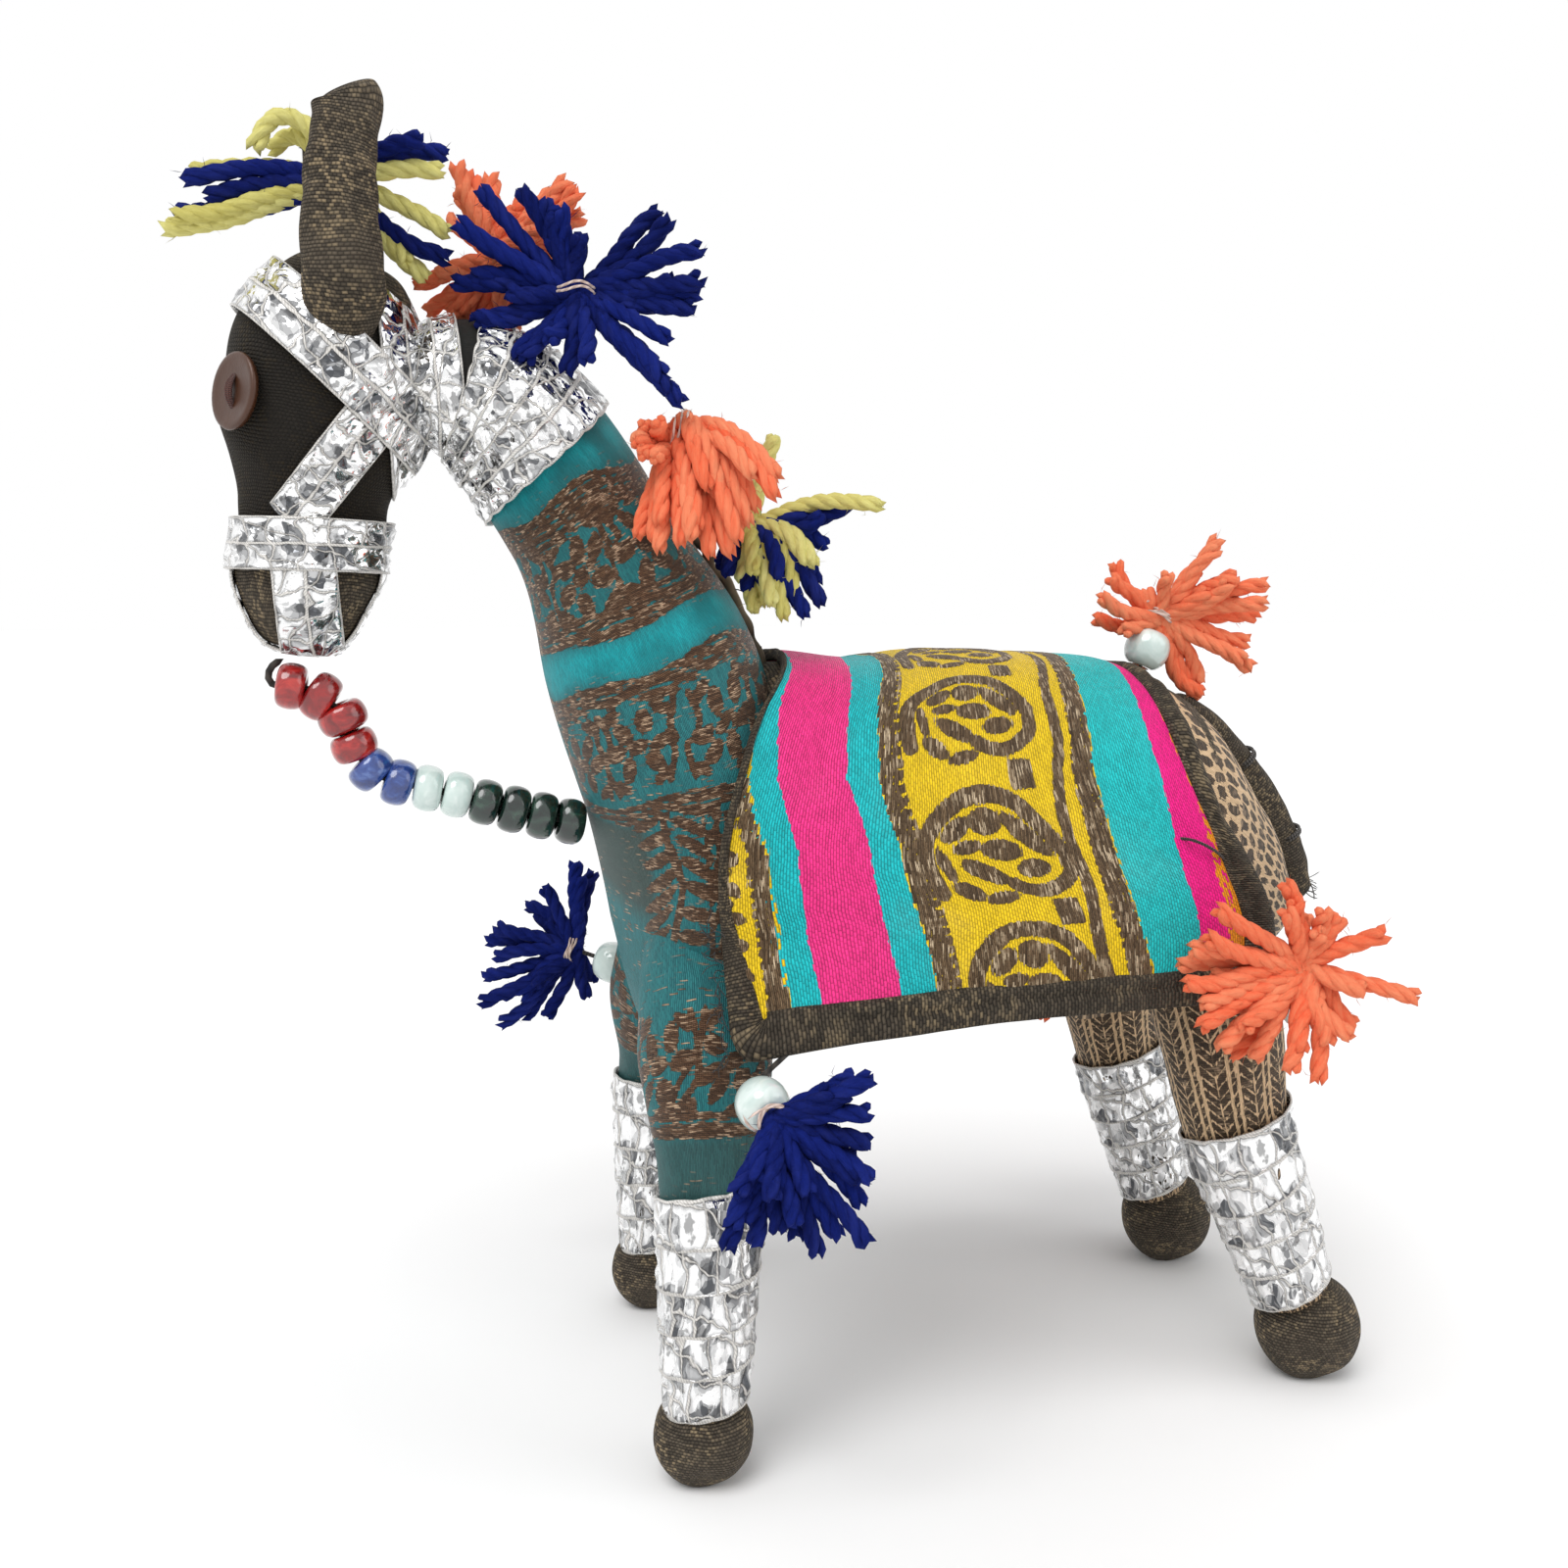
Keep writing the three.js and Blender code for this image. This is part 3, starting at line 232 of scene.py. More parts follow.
# The saddle cloth: u runs from its front edge (-1) to its rear edge (1), v from the left hem (-1) over the ridge.
def clothPoint(u, v):
    u, v = np.broadcast_arrays(np.asarray(u, float), np.asarray(v, float))
    shape = u.shape
    u, v = u.ravel(), v.ravel()
    near = np.abs(v)
    lead = 6 * (v + 1) / 2
    # the front edge is drawn in to the neck
    fade = np.clip((-0.3 - u) / 0.6, 0, 1)
    tuck = np.interp(near, [0, 0.2, 0.35, 0.5, 0.65, 0.8, 0.9, 0.95, 1],
                     [0, 0.7, 2.5, 4.7, 6.6, 8.2, 6.2, 4.5, 3.2])
    front = -36.8 - 20.7 * smoothAt([-0.02, 0.18, 0.64, 0.97, 1.0, 0.94], near) - lead + 0.27 * tuck
    tuck = tuck * fade * fade * (3 - 2 * fade)
    rear = 31.8 + smoothAt([0, -2.2, -1.4, 4, 7.8, 7.4], near) - 0.3 * lead
    x = front + (rear - front) * (u + 1) / 2
    share = np.interp(np.clip(x, -17, 32), torso.line[:, 0], torso.shares)
    swell = np.sqrt(1 - (1 - 2 * share) ** 2) ** torso.fullness
    ridge = (np.interp(share, torso.shares, torso.line[:, 2])
             + swell * np.interp(share, torso.shares, torso.girth[:, 1]) + 1.9 + 1.5 * ((1 - u) / 2) ** 2)
    hem = 71.5 + 5.5 * (1 - ((1 - u) / 2) ** 3)
    outs = [-14.625, 0, 14.625, 26.325, 34.125, 37.45, 39.88, 41.5]
    heights = [ridge - 2, ridge, ridge - 2, ridge - 8.6, ridge - 22, (ridge + hem) / 2 - 5,
               0.23 * ridge + 0.77 * hem, hem]
    stops = np.stack([np.stack([0 * u, y + 0 * u, z], 1) for y, z in zip(outs, heights)], 1)
    drape = splineAt(stops, (1 + 6 * near) / 7)
    wave = 0.9 * near ** 3 * np.sin(1.5 * math.pi * u + v)
    return np.c_[x, np.sign(v) * (drape[:, 1] + wave - tuck), drape[:, 2]].reshape(shape + (3,))


def clothNormal(u, v, step=0.02):
    along = clothPoint(u + step, v) - clothPoint(u - step, v)
    across = clothPoint(u, v + step) - clothPoint(u, v - step)
    return unit(np.cross(along, across))


clothHalfLength = np.linalg.norm(clothPoint(1, 0.5) - clothPoint(-1, 0.5)) / 2
clothHalfSpan = 83.5


def unitGrid(name, columns, rows):
    bm = bmesh.new()
    bm.loops.layers.uv.new("weave")
    bmesh.ops.create_grid(bm, x_segments=columns, y_segments=rows, size=0.5, calc_uvs=True)
    mesh = bpy.data.meshes.new(name)
    bm.to_mesh(mesh)
    bm.free()
    flat = np.zeros(len(mesh.vertices) * 3, np.float32)
    mesh.vertices.foreach_get("co", flat)
    return mesh, *np.clip(flat.reshape(-1, 3).T[:2] + 0.5, 0, 1)


def lay(mesh, points, values):
    mesh.vertices.foreach_set("co", toFrame(points).astype(np.float32).ravel())
    for label, made in values.items():
        mesh.attributes.new(label, "FLOAT", "POINT").data.foreach_set("value", np.asarray(made, np.float32).ravel())
    bm = bmesh.new()
    bm.from_mesh(mesh)
    return bm


def finished(name, bm, mesh=None):
    mesh = mesh or bpy.data.meshes.new(name)
    for face in bm.faces:
        face.smooth = True
    bm.to_mesh(mesh)
    bm.free()
    piece = bpy.data.objects.new(name, mesh)
    bpy.context.scene.collection.objects.link(piece)
    return piece


def gridMesh(name, columns, rows, place, uv, values=None, closed=False):
    # A grid of columns by rows, laid where place(u, v) says, with u and v from 0 to 1. A closed one is welded.
    mesh, u, v = unitGrid(name, columns, rows)
    corner = np.zeros(len(mesh.loops), np.int32)
    mesh.loops.foreach_get("vertex_index", corner)
    laid = np.asarray(uv(u[corner], v[corner]), np.float32)
    mesh.uv_layers["weave"].data.foreach_set("uv", laid.T.ravel())
    bm = lay(mesh, place(u, v), values(u, v) if values else {})
    if closed:
        bmesh.ops.remove_doubles(bm, verts=bm.verts, dist=2e-6)
        bmesh.ops.holes_fill(bm, edges=[edge for edge in bm.edges if edge.is_boundary], sides=0)
        bmesh.ops.recalc_face_normals(bm, faces=bm.faces)
    middle = sum((vert.co for vert in bm.verts), Vector()) / len(bm.verts)
    if sum(face.calc_area() * face.normal.dot(face.calc_center_median() - middle) for face in bm.faces) < 0:
        bmesh.ops.reverse_faces(bm, faces=bm.faces)
    return finished(name, bm, mesh)


def thicken(piece, thickness, offset):
    solid = piece.modifiers.new("thickness", "SOLIDIFY")
    solid.thickness, solid.offset = thickness, offset


def lumps(size, height, seed):
    # soft dents and swellings that meet at the seam and at the ends
    def made(share, angle):
        grow = np.sin(math.pi * share)
        return height * ripple(share * 90 + 11 * grow * np.cos(angle), 16 * grow * np.sin(angle), size, seed)
    return made


def formMesh(name, form, around, rows, lumpy, more=lambda share, angle: 0.0, values=None, span=(0.0, 1.0)):
    # The closed skin of a stuffed form. Its weave runs in millimetres along and round it.
    first, last = (math.acos(1 - 2 * s) / math.pi for s in span)
    girth = math.pi * (form.girth.max(0).sum())
    toShare = lambda v: (1 - np.cos(math.pi * (first + (last - first) * v))) / 2
    toAngle = lambda u: fullTurn * u

    def place(u, v):
        share, angle = toShare(v), toAngle(u)
        return form.point(share, angle, lumps(*lumpy)(share, angle) + more(share, angle))

    return gridMesh(
        name, around, rows, place, lambda u, v: (u * girth, np.interp(toShare(v), form.shares, form.run)),
        (lambda u, v: values(toShare(v), toAngle(u))) if values else None, closed=True)


def framesOf(route):
    # Two directions across a thread that turn as little as they can from end to end.
    along, side = unit(np.gradient(route, axis=0)), np.zeros_like(route)
    held = np.array([0.31, 0.87, 0.38])
    for k, way in enumerate(along):
        held = unit(held - way * (held @ way))
        side[k] = held
    return side, np.cross(along, side)


def tubes(name, routes, radii, around, rows, tone=None, blunt=0.06):
    # Many round threads in one mesh: routes is a list of (rows + 1, 3) arrays.
    one, u, v = unitGrid(name, around, rows)
    bm = bmesh.new()
    for _ in routes:
        bm.from_mesh(one)
    mesh = bpy.data.meshes.new(name)
    bm.to_mesh(mesh)
    bm.free()
    bpy.data.meshes.remove(one)
    row, angle = np.clip(np.rint(v * rows).astype(int), 0, rows), fullTurn * u
    ends = np.clip(np.minimum(np.linspace(0, 1, rows + 1), np.linspace(1, 0, rows + 1)) / blunt, 0, 1)
    placed = []
    for number, route in enumerate(routes):
        route = np.asarray(route, float)
        side, up = framesOf(route)
        radius = np.asarray(radii[number] if hasattr(radii, "__len__") else radii, float) * np.ones(rows + 1)
        radius = radius * np.sqrt(1 - (1 - ends) ** 2)
        placed.append(route[row] + side[row] * (np.cos(angle) * radius[row])[:, None]
                      + up[row] * (np.sin(angle) * radius[row])[:, None])
    tones = np.repeat([0.5] * len(routes) if tone is None else tone, len(u))
    bm = lay(mesh, np.concatenate(placed), {"strandTone": tones})
    bmesh.ops.remove_doubles(bm, verts=bm.verts, dist=1e-7)
    bmesh.ops.recalc_face_normals(bm, faces=bm.faces)
    return finished(name, bm, mesh)


def turned(name, outline, steps, centre, way, closed, shape=None):
    # A round piece: the outline of radius and height, turned about the line way through its centre.
    bm = bmesh.new()
    verts = [bm.verts.new((r / 1000, 0, z / 1000)) for r, z in outline]
    rim = [bm.edges.new(pair) for pair in zip(verts, verts[1:] + verts[:1] if closed else verts[1:])]
    bmesh.ops.spin(bm, geom=verts + rim, cent=(0, 0, 0), axis=(0, 0, 1), angle=fullTurn, steps=steps, use_merge=True)
    bmesh.ops.remove_doubles(bm, verts=bm.verts, dist=1e-6)
    bmesh.ops.recalc_face_normals(bm, faces=bm.faces)
    for vert in bm.verts:
        vert.co = shape(vert.co) if shape else vert.co
    turn = Vector(way).normalized().to_track_quat("Z", "Y").to_matrix().to_4x4()
    bmesh.ops.transform(bm, matrix=Matrix.Translation(toFrame(centre)) @ turn, verts=bm.verts)
    return finished(name, bm)


# Materials. Every weave is drawn in millimetres, on each piece's own map called weave.

def sign(operation, swapped=False):
    return lambda self, other: self.draft.node(
        "Math", *((other, self) if swapped else (self, other)), operation=operation)


class Signal:
    # A value in a shader. Each + - * / makes a Math node.
    __add__, __radd__, __sub__, __rsub__ = sign("ADD"), sign("ADD", True), sign("SUBTRACT"), sign("SUBTRACT", True)
    __mul__, __truediv__ = sign("MULTIPLY"), sign("DIVIDE")

    def __init__(self, draft, socket):
        self.draft, self.socket = draft, socket

    def math(self, operation, *others):
        return self.draft.node("Math", self, *others, operation=operation)

    def vector(self, operation, *others, out=0):
        return self.draft.node("VectorMath", self, *others, out=out, operation=operation)


class Draft:
    # Draws nodes in one tree.
    def __init__(self, tree):
        self.tree = tree

    def node(self, kind, *inputs, out=0, named=None, **settings):
        made = self.tree.nodes.new("ShaderNode" + kind)
        for key, value in settings.items():
            setattr(made, key, value)
        for socket, value in [*zip(made.inputs, inputs), *((made.inputs[key], v) for key, v in (named or {}).items())]:
            if isinstance(value, Signal):
                self.tree.links.new(value.socket, socket)
            elif value is not None:
                socket.default_value = value
        given = [Signal(self, made.outputs[key]) for key in (out if isinstance(out, tuple) else (out,))]
        return given if isinstance(out, tuple) else given[0]

    def mix(self, share, first, second, blend="MIX"):
        pair = [value if isinstance(value, Signal) else (*value, 1) for value in (first, second)]
        return self.node("Mix", share, *[None] * 5, *pair, out=2, data_type="RGBA", blend_type=blend)

    def step(self, value, low, high):
        return self.node("MapRange", value, low, high, 0.0, 1.0, interpolation_type="SMOOTHSTEP")


class Surface(Draft):
    # One material. place is the spot on the piece's map, and x and y are its millimetres.
    def __init__(self, name, roughness, sheen=0.0, sheenTint=(1, 1, 1), coat=0.0, coatRoughness=0.05, metallic=0.0,
                 specular=0.5):
        self.material = bpy.data.materials.new(name)
        self.material.use_nodes = True
        super().__init__(self.material.node_tree)
        self.shader = self.tree.nodes["Principled BSDF"]
        for label, value in (("Roughness", roughness), ("Sheen Weight", sheen), ("Sheen Tint", (*sheenTint, 1)),
                             ("Sheen Roughness", 0.4), ("Coat Weight", coat), ("Coat Roughness", coatRoughness),
                             ("Metallic", metallic), ("Specular IOR Level", specular)):
            self.shader.inputs[label].default_value = value
        self.place = self.node("UVMap", uv_map="weave")
        self.x, self.y = self.node("SeparateXYZ", self.place, out=(0, 1))

    def finish(self, colour, height, distance, strength=1.0, **sockets):
        bump = self.node("Bump", strength, distance, named={"Height": height})
        sockets = {"Base Color": colour, "Normal": bump, **{key.capitalize(): s for key, s in sockets.items()}}
        for label, value in sockets.items():
            self.tree.links.new(value.socket, self.shader.inputs[label])
        return self.material

    def noise(self, scale, detail, place=None, out=0):
        return self.node("TexNoise", place or self.place, None, scale, detail, out=out, noise_dimensions="2D")

    def noiseAt(self, spot, scale, detail, roughness=None, distortion=None):
        return self.node("TexNoise", spot, None, scale, detail, roughness, named={"Distortion": distortion})

    def wander(self, scale, amount, place=None):
        # A slow drift that keeps threads from running dead straight.
        return (self.noise(scale, 2.0, place) - 0.5) * amount

    def attribute(self, name):
        return self.node("Attribute", out="Fac", attribute_name=name)

    def rows(self, across, along, pitch, length, stagger=0.5, scatter=0.1):
        return self.node("Group", across, along, pitch, length, stagger, scatter, out=(0, 1, 2),
                         node_tree=threadRows)

    def zari(self, across, along, colours, pitch, length, stagger=0.31):
        # Flat metal thread laid over the ground: brown with pale glints.
        height, tone, row = self.rows(across, along, pitch, length, stagger, 0.4)
        # The metal thread is darker in the gaps between threads: painted shade, with random tones for each float and
        # row.
        colour = self.mix(height * (tone * 0.55 + (row * 0.5 + 0.15)), *colours[:2])
        glint = self.step(tone, 0.5, 1.0) * self.step(self.noise(0.35, 3.0), 0.36, 0.66)
        return self.mix(glint * height, colour, colours[2]), height, tone

    def net(self, place, size):
        # Distance to the sides of regular hexagons, in millimetres.
        cell, reaches = (size, size * math.sqrt(3), 1.0), []
        for shift in ((0.0, 0.0, 0.0), (size / 2, size * math.sqrt(3) / 2, 0.0)):
            inCell = place.vector("SUBTRACT", shift).vector("MODULO", cell)
            away = inCell.vector("ADD", tuple(-side / 2 for side in cell)).vector("ABSOLUTE")
            x, y = self.node("SeparateXYZ", away, out=(0, 1))
            reaches.append(x.math("MAXIMUM", x * 0.5 + y * (math.sqrt(3) / 2)))
        return (reaches[0].math("MINIMUM", reaches[1]) - (size / 2 - 0.52)) + self.wander(0.5, 1.1, place)

    def creased(self, place, scale):
        # Flat facets that each tip their own way.
        colour, middle = self.node("TexVoronoi", place, None, scale, out=("Color", "Position"),
                                   voronoi_dimensions="2D", feature="F1")
        tip = colour.vector("SUBTRACT", (0.5, 0.5, 0.5))
        facet = place.vector("SUBTRACT", middle).vector("DOT_PRODUCT", tip, out="Value")
        return facet, self.node("SeparateColor", colour, out=2)


def makeThreadGroup():
    # Rows of thread: each row is one pitch wide and shows as floats of one length, staggered from row to row.
    tree = bpy.data.node_groups.new("threadRows", "ShaderNodeTree")
    newSocket = lambda label, way: tree.interface.new_socket(name=label, in_out=way, socket_type="NodeSocketFloat")
    for label, value in (("Across", 0.0), ("Along", 0.0), ("Pitch", 0.5), ("Float Length", 1.0), ("Stagger", 0.5),
                         ("Scatter", 0.1)):
        newSocket(label, "INPUT").default_value = value
    for label in ("Height", "Tone", "Row Tone"):
        newSocket(label, "OUTPUT")
    m = Draft(tree)
    across, along, pitch, length, stagger, scatter = (
        Signal(m, socket) for socket in list(tree.nodes.new("NodeGroupInput").outputs)[:6])
    result = tree.nodes.new("NodeGroupOutput").inputs
    arch = lambda share: (share * math.pi).math("SINE")
    rowPlace = across / pitch
    row = rowPlace.math("FLOOR")
    rowTone = m.node("TexWhiteNoise", None, row, out="Value", noise_dimensions="1D")
    shifted = along / length + (row * stagger + rowTone * scatter)
    both = m.node("CombineXYZ", row, shifted.math("FLOOR"), 0.0)
    tone = m.node("TexWhiteNoise", both, out="Value", noise_dimensions="2D")
    bulge = arch(shifted.math("FRACT")).math("POWER", 0.5)
    height = arch(rowPlace.math("FRACT")).math("POWER", 0.6) * (bulge * 0.7 + 0.3)
    for label, value in (("Height", height), ("Tone", tone), ("Row Tone", rowTone)):
        tree.links.new(value.socket, result[label])
    return tree


threadRows = makeThreadGroup()
dimmed = lambda colour, share: tuple(share * c for c in colour)
clothLook = {"pitch": 0.55, "float": 0.7, "dark": (0.006, 0.005, 0.004), "light": (0.13, 0.104, 0.075),
             "glint": (0.55, 0.42, 0.25), "worn": (0.11, 0.088, 0.064)}
tealLook = {"ground": ((0.004, 0.055, 0.068), (0.02, 0.2, 0.21)), "satin": (0.004, 0.42, 0.47),
            "grey": (0.045, 0.075, 0.065), "bare": ((0.003, 0.0025, 0.002), (0.02, 0.016, 0.012)),
            "zari": ((0.03, 0.014, 0.007), (0.2, 0.1, 0.05), (0.75, 0.52, 0.34))}
brownLook = {"cream": ((0.42, 0.28, 0.15), (0.85, 0.6, 0.36)), "net": 3.5, "trellis": 8.4,
             "zari": ((0.02, 0.013, 0.007), (0.12, 0.075, 0.042), (0.42, 0.3, 0.19))}
saddleLook = {
    "stripes": ["ground", "teal", "pink", "teal", "ground", "turquoise", "magenta", "orange"],
    "ground": (0.86, 0.58, 0.008), "teal": (0.008, 0.5, 0.53), "pink": (0.93, 0.035, 0.25),
    "turquoise": (0.01, 0.54, 0.55), "magenta": (0.96, 0.006, 0.26), "orange": (0.85, 0.3, 0.008),
    "worn": (0.85, 0.75, 0.6), "zari": ((0.04, 0.023, 0.011), (0.25, 0.16, 0.085), (0.85, 0.68, 0.46))}
# foil runs from a dark grey to white: painted reflection on the facets. deep is a painted dark reflection, and shadow
# the painted shadow beside the threads.
foilLook = {"foil": ((0.09, 0.095, 0.105), (1.0, 1.0, 1.0)), "deep": (0.03, 0.03, 0.032),
            "shadow": (0.05, 0.05, 0.055), "cotton": ((0.5, 0.47, 0.43), (1.0, 0.97, 0.92))}


def makePlainCloth(look):
    m = Surface("plainCloth", 0.75, sheen=0.05, sheenTint=(0.95, 0.8, 0.6), specular=0.2)
    drift = m.wander(0.12, 1.2)
    height, tone, _ = m.rows(m.y + drift, m.x + drift, look["pitch"], look["float"])
    # Thread tops are lighter and the gaps between threads darker: painted shade between the threads. Each float also
    # has a random tone.
    colour = m.mix(height * (tone * 0.75 + 0.45), look["dark"], look["light"])
    glints = m.step(tone, 0.3, 1.0) * m.step(m.noise(0.16, 3.0), 0.38, 0.66) * height
    colour = m.mix(glints * 0.62, colour, look["glint"])
    colour = m.mix(m.step(m.noise(0.05, 4.0), 0.35, 0.75) * 0.3, colour, look["worn"])
    colour = m.mix(m.attribute("shade") * 0.9, colour, look["dark"])
    return m.finish(colour, height, 0.00035, metallic=glints * 0.6)


def makeTealBrocade(look):
    m = Surface("tealBrocade", 0.5, sheen=0.05, sheenTint=(0.4, 0.9, 0.95), specular=0.3)
    drift = m.wander(0.1, 1.5)
    across, along = m.x + drift, m.y + drift
    height, tone, _ = m.rows(across, along, 0.36, 1.4, 0.37, 0.3)
    # share is lighter on the thread tops and darker in the gaps: painted shade between the threads, with a random tone
    # for each float.
    share = height * 0.6 + tone * 0.45
    cloud = m.noise(0.06, 3.0)
    satin = m.mix(share, dimmed(look["satin"], 0.45), look["satin"])
    # Broad soft patches of the satin are darkened: painted shade standing in for the changing sheen of the satin.
    satin = m.mix(m.step(cloud, 0.35, 0.7), satin, dimmed(look["satin"], 0.35))
    ground = m.mix(m.attribute("satin"), m.mix(share, *look["ground"]), satin)
    ground = m.mix(m.attribute("grey"), ground, m.mix(share, dimmed(look["grey"], 0.5), look["grey"]))
    zari, zariHeight, zariTone = m.zari(along, across + along * 0.55, look["zari"], 0.26, 1.5)
    # stray metal threads lie over the plain ground too
    bare = m.attribute("bare")
    calm = 1.0 - m.attribute("satin").math("MAXIMUM", bare)
    stray = m.step(zariTone, 0.91, 0.95) * (calm * m.step(cloud, 0.38, 0.6))
    edge = m.attribute("zari") + (zariTone - 0.47) * 0.28
    mask = m.step(edge, -0.06, 0.06).math("MAXIMUM", stray * 0.9) * (1.0 - bare)
    colour = m.mix(mask, m.mix(bare, ground, m.mix(share, *look["bare"])), zari)
    return m.finish(colour, mask * (zariHeight * 0.8 + 0.5) + height * 0.6, 0.00022,
                    roughness=0.52 - mask * 0.12, metallic=mask * 0.22)


def makeBrownBrocade(look):
    m = Surface("brownBrocade", 0.6, sheen=0.05, specular=0.3)
    height, tone, _ = m.rows(m.x, m.y, 0.38, 1.2, 0.4, 0.3)
    # The cream ground is lighter on the thread tops and darker in the gaps: painted shade between the threads, with a
    # random tone for each float.
    cream = m.mix(height * 0.6 + tone * 0.4, *look["cream"])
    zari = m.zari(m.y, m.x, look["zari"], 0.36, 1.7)[0]
    bent = m.place.vector("ADD", m.noise(0.25, 2.0, out=1).vector("MULTIPLY", (2.4, 2.4, 2.4)))
    # the patterns repeat from 300 mm away, so that no place on them is below zero
    net = m.net(bent.vector("ADD", (300.0, 300.0, 0.0)), look["net"])
    span = ((m.x + 300.0) / look["trellis"]).math("FRACT")
    toLine = lambda at: (span - at).math("ABSOLUTE") * look["trellis"]
    lines = 0.42 - toLine(0.1).math("MINIMUM", toLine(0.32))
    chevrons = 0.17 - (m.y + toLine(0.66) * 0.75).math("PINGPONG", 0.95)
    trellis = lines.math("MAXIMUM", chevrons.math("MAXIMUM", 0.14 - toLine(0.66)))
    share = m.attribute("trellis")
    both = trellis * share + net * (1.0 - share)
    mask = m.step(both + (tone - 0.5) * 0.3, -0.05, 0.05)
    return m.finish(m.mix(mask, zari, cream), mask * 0.7 + height * 0.7, 0.0002)


def makeSaddleBrocade(look):
    m = Surface("saddleBrocade", 0.55, sheen=0.04, specular=0.25)
    drift = m.wander(0.08, 1.6)
    across, along = m.x + drift, m.y + drift * 0.5
    height, tone, _ = m.rows(across, along, 0.46, 1.1, 0.36, 0.12)
    count = len(look["stripes"])
    ground = m.node("ValToRGB", (m.attribute("stripe") + (tone - 0.5) * 0.05) / count)
    ramp = ground.socket.node.color_ramp
    ramp.interpolation = "CONSTANT"
    while len(ramp.elements) < count:
        ramp.elements.new(0.5)
    for number, name in enumerate(look["stripes"]):
        ramp.elements[number].position, ramp.elements[number].color = number / count, (*look[name], 1)
    shade = height * 0.62 + (tone * 0.26 + 0.34)
    ground = m.mix(1.0, ground, m.node("CombineXYZ", shade, shade, shade), "MULTIPLY")
    ground = m.mix(m.step(m.noise(0.045, 3.0), 0.5, 0.85) * 0.05, ground, look["worn"])
    zari, zariHeight, zariTone = m.zari(across, along, look["zari"], 0.28, 2.1, 0.37)
    mask = m.step(m.attribute("zari") + (zariTone - 0.5) * 0.3, -0.05, 0.05)
    return m.finish(m.mix(mask, ground, zari), mask * (zariHeight * 0.7 + 0.5) + height * 0.7, 0.00025,
                    metallic=mask * 0.3)


def makeSilverTape(look):
    m = Surface("silverTape", 0.12, coat=0.5, coatRoughness=0.05)
    bent = m.place.vector("ADD", m.noise(0.9, 2.0, out=1).vector("MULTIPLY", (0.9, 0.7, 0.0)))
    (facet, facetTone), (small, smallTone) = m.creased(bent, 1.9), m.creased(bent, 4.6)
    sliver, sliverTone = m.creased(bent.vector("MULTIPLY", (5.0, 1.6, 1.0)), 1.0)
    toWhole = lambda value: (value - value.math("ROUND")).math("ABSOLUTE")
    x, y = m.node("SeparateXYZ", bent, out=(0, 1))
    # long threads run along the tape, looser ones cross it, with a few slanted ones
    lane, cross = toWhole(m.y + m.wander(1.4, 0.16)) * 5.2, toWhole(x - 0.25) * 4.4
    slant = toWhole(x * 0.37 + y) * 4.4
    edge = (lane - 0.1).math("MINIMUM", cross.math("MINIMUM", slant + 0.04))
    thread = 1.0 - m.step(edge, 0.1, 0.26)
    # Each facet gets its own grey between dark and white, standing in for what it would mirror: painted reflection.
    reflectionTone = facetTone * 0.62 + (smallTone * 0.25 + sliverTone * 0.28)
    foil = m.mix(m.step(reflectionTone, 0.16, 0.72), *look["foil"])
    # Small dark patches over the facets are painted dark reflections.
    foil = m.mix(m.step(m.noise(1.7, 3.0), 0.62, 0.68) * 0.6, foil, look["deep"])
    foil = m.mix(0.4 - m.step(edge, 0.24, 0.6) * 0.4, foil, look["shadow"])
    cotton = m.mix(((m.x + m.y) * 60.0).math("SINE") * 0.3 + 0.5, *look["cotton"])
    creases = facet * 1.5 + (small * 1.3 + sliver * 0.25)
    return m.finish(m.mix(thread * 0.85, foil, cotton), creases + thread * 0.25, 0.0016,
                    roughness=thread * 0.5 + 0.08, metallic=1.0 - thread * 0.9)


def makeYarn(name, dark, light, sheen=0.25):
    m = Surface(name, 0.95, sheen=sheen, sheenTint=light, specular=0.1)
    strand = m.attribute("strandTone")
    spot = m.node("CombineXYZ", m.x * 5.0, m.y * 9.0, strand * 31.0)
    fibre = m.noiseAt(spot, 2.0, 5.0, 0.7)
    colour = m.mix(fibre * 0.8 + (strand * 0.35 - 0.1), dark, light)
    bright = tuple(min(1, 1.25 * c + 0.03) for c in light)
    colour = m.mix(m.step(m.noiseAt(spot, 0.4, 2.0), 0.4, 0.8) * 0.25, colour, bright)
    return m.finish(colour, fibre, 0.0005)


def makeGlass(name, deep, pale, streak, scale):
    m = Surface(name, 0.12, coat=1.0, coatRoughness=0.03)
    spot = m.node("TexCoord", out="Object")
    cloud = m.noiseAt(spot, scale, 3.0, 0.6, distortion=1.2)
    colour = m.mix(m.step(cloud, 0.3, 0.7), deep, pale)
    colour = m.mix(m.step(cloud, 0.5, 0.72) * 0.5, colour, streak)
    return m.finish(colour, m.noiseAt(spot, 6 * scale, 2.0) * 0.4 + cloud, 0.0002, 0.6)


def makeButton():
    m = Surface("copperButton", 0.38, coat=0.15, coatRoughness=0.2, metallic=0.2)
    spot = m.node("TexCoord", out="Object")
    cloud = m.noiseAt(spot, 320.0, 4.0, 0.65)
    colour = m.mix(cloud, (0.045, 0.014, 0.005), (0.08, 0.028, 0.011))
    return m.finish(colour, m.noiseAt(spot, 2400.0, 2.0) * 0.3 + cloud, 0.0001)


def makeThread(name, dark, light):
    m = Surface(name, 0.85, sheen=0.2)
    ply = ((m.y * 26.0 + m.x) * 6.283).math("SINE")
    return m.finish(m.mix(ply * 0.4 + 0.5, dark, light), ply, 0.0001)


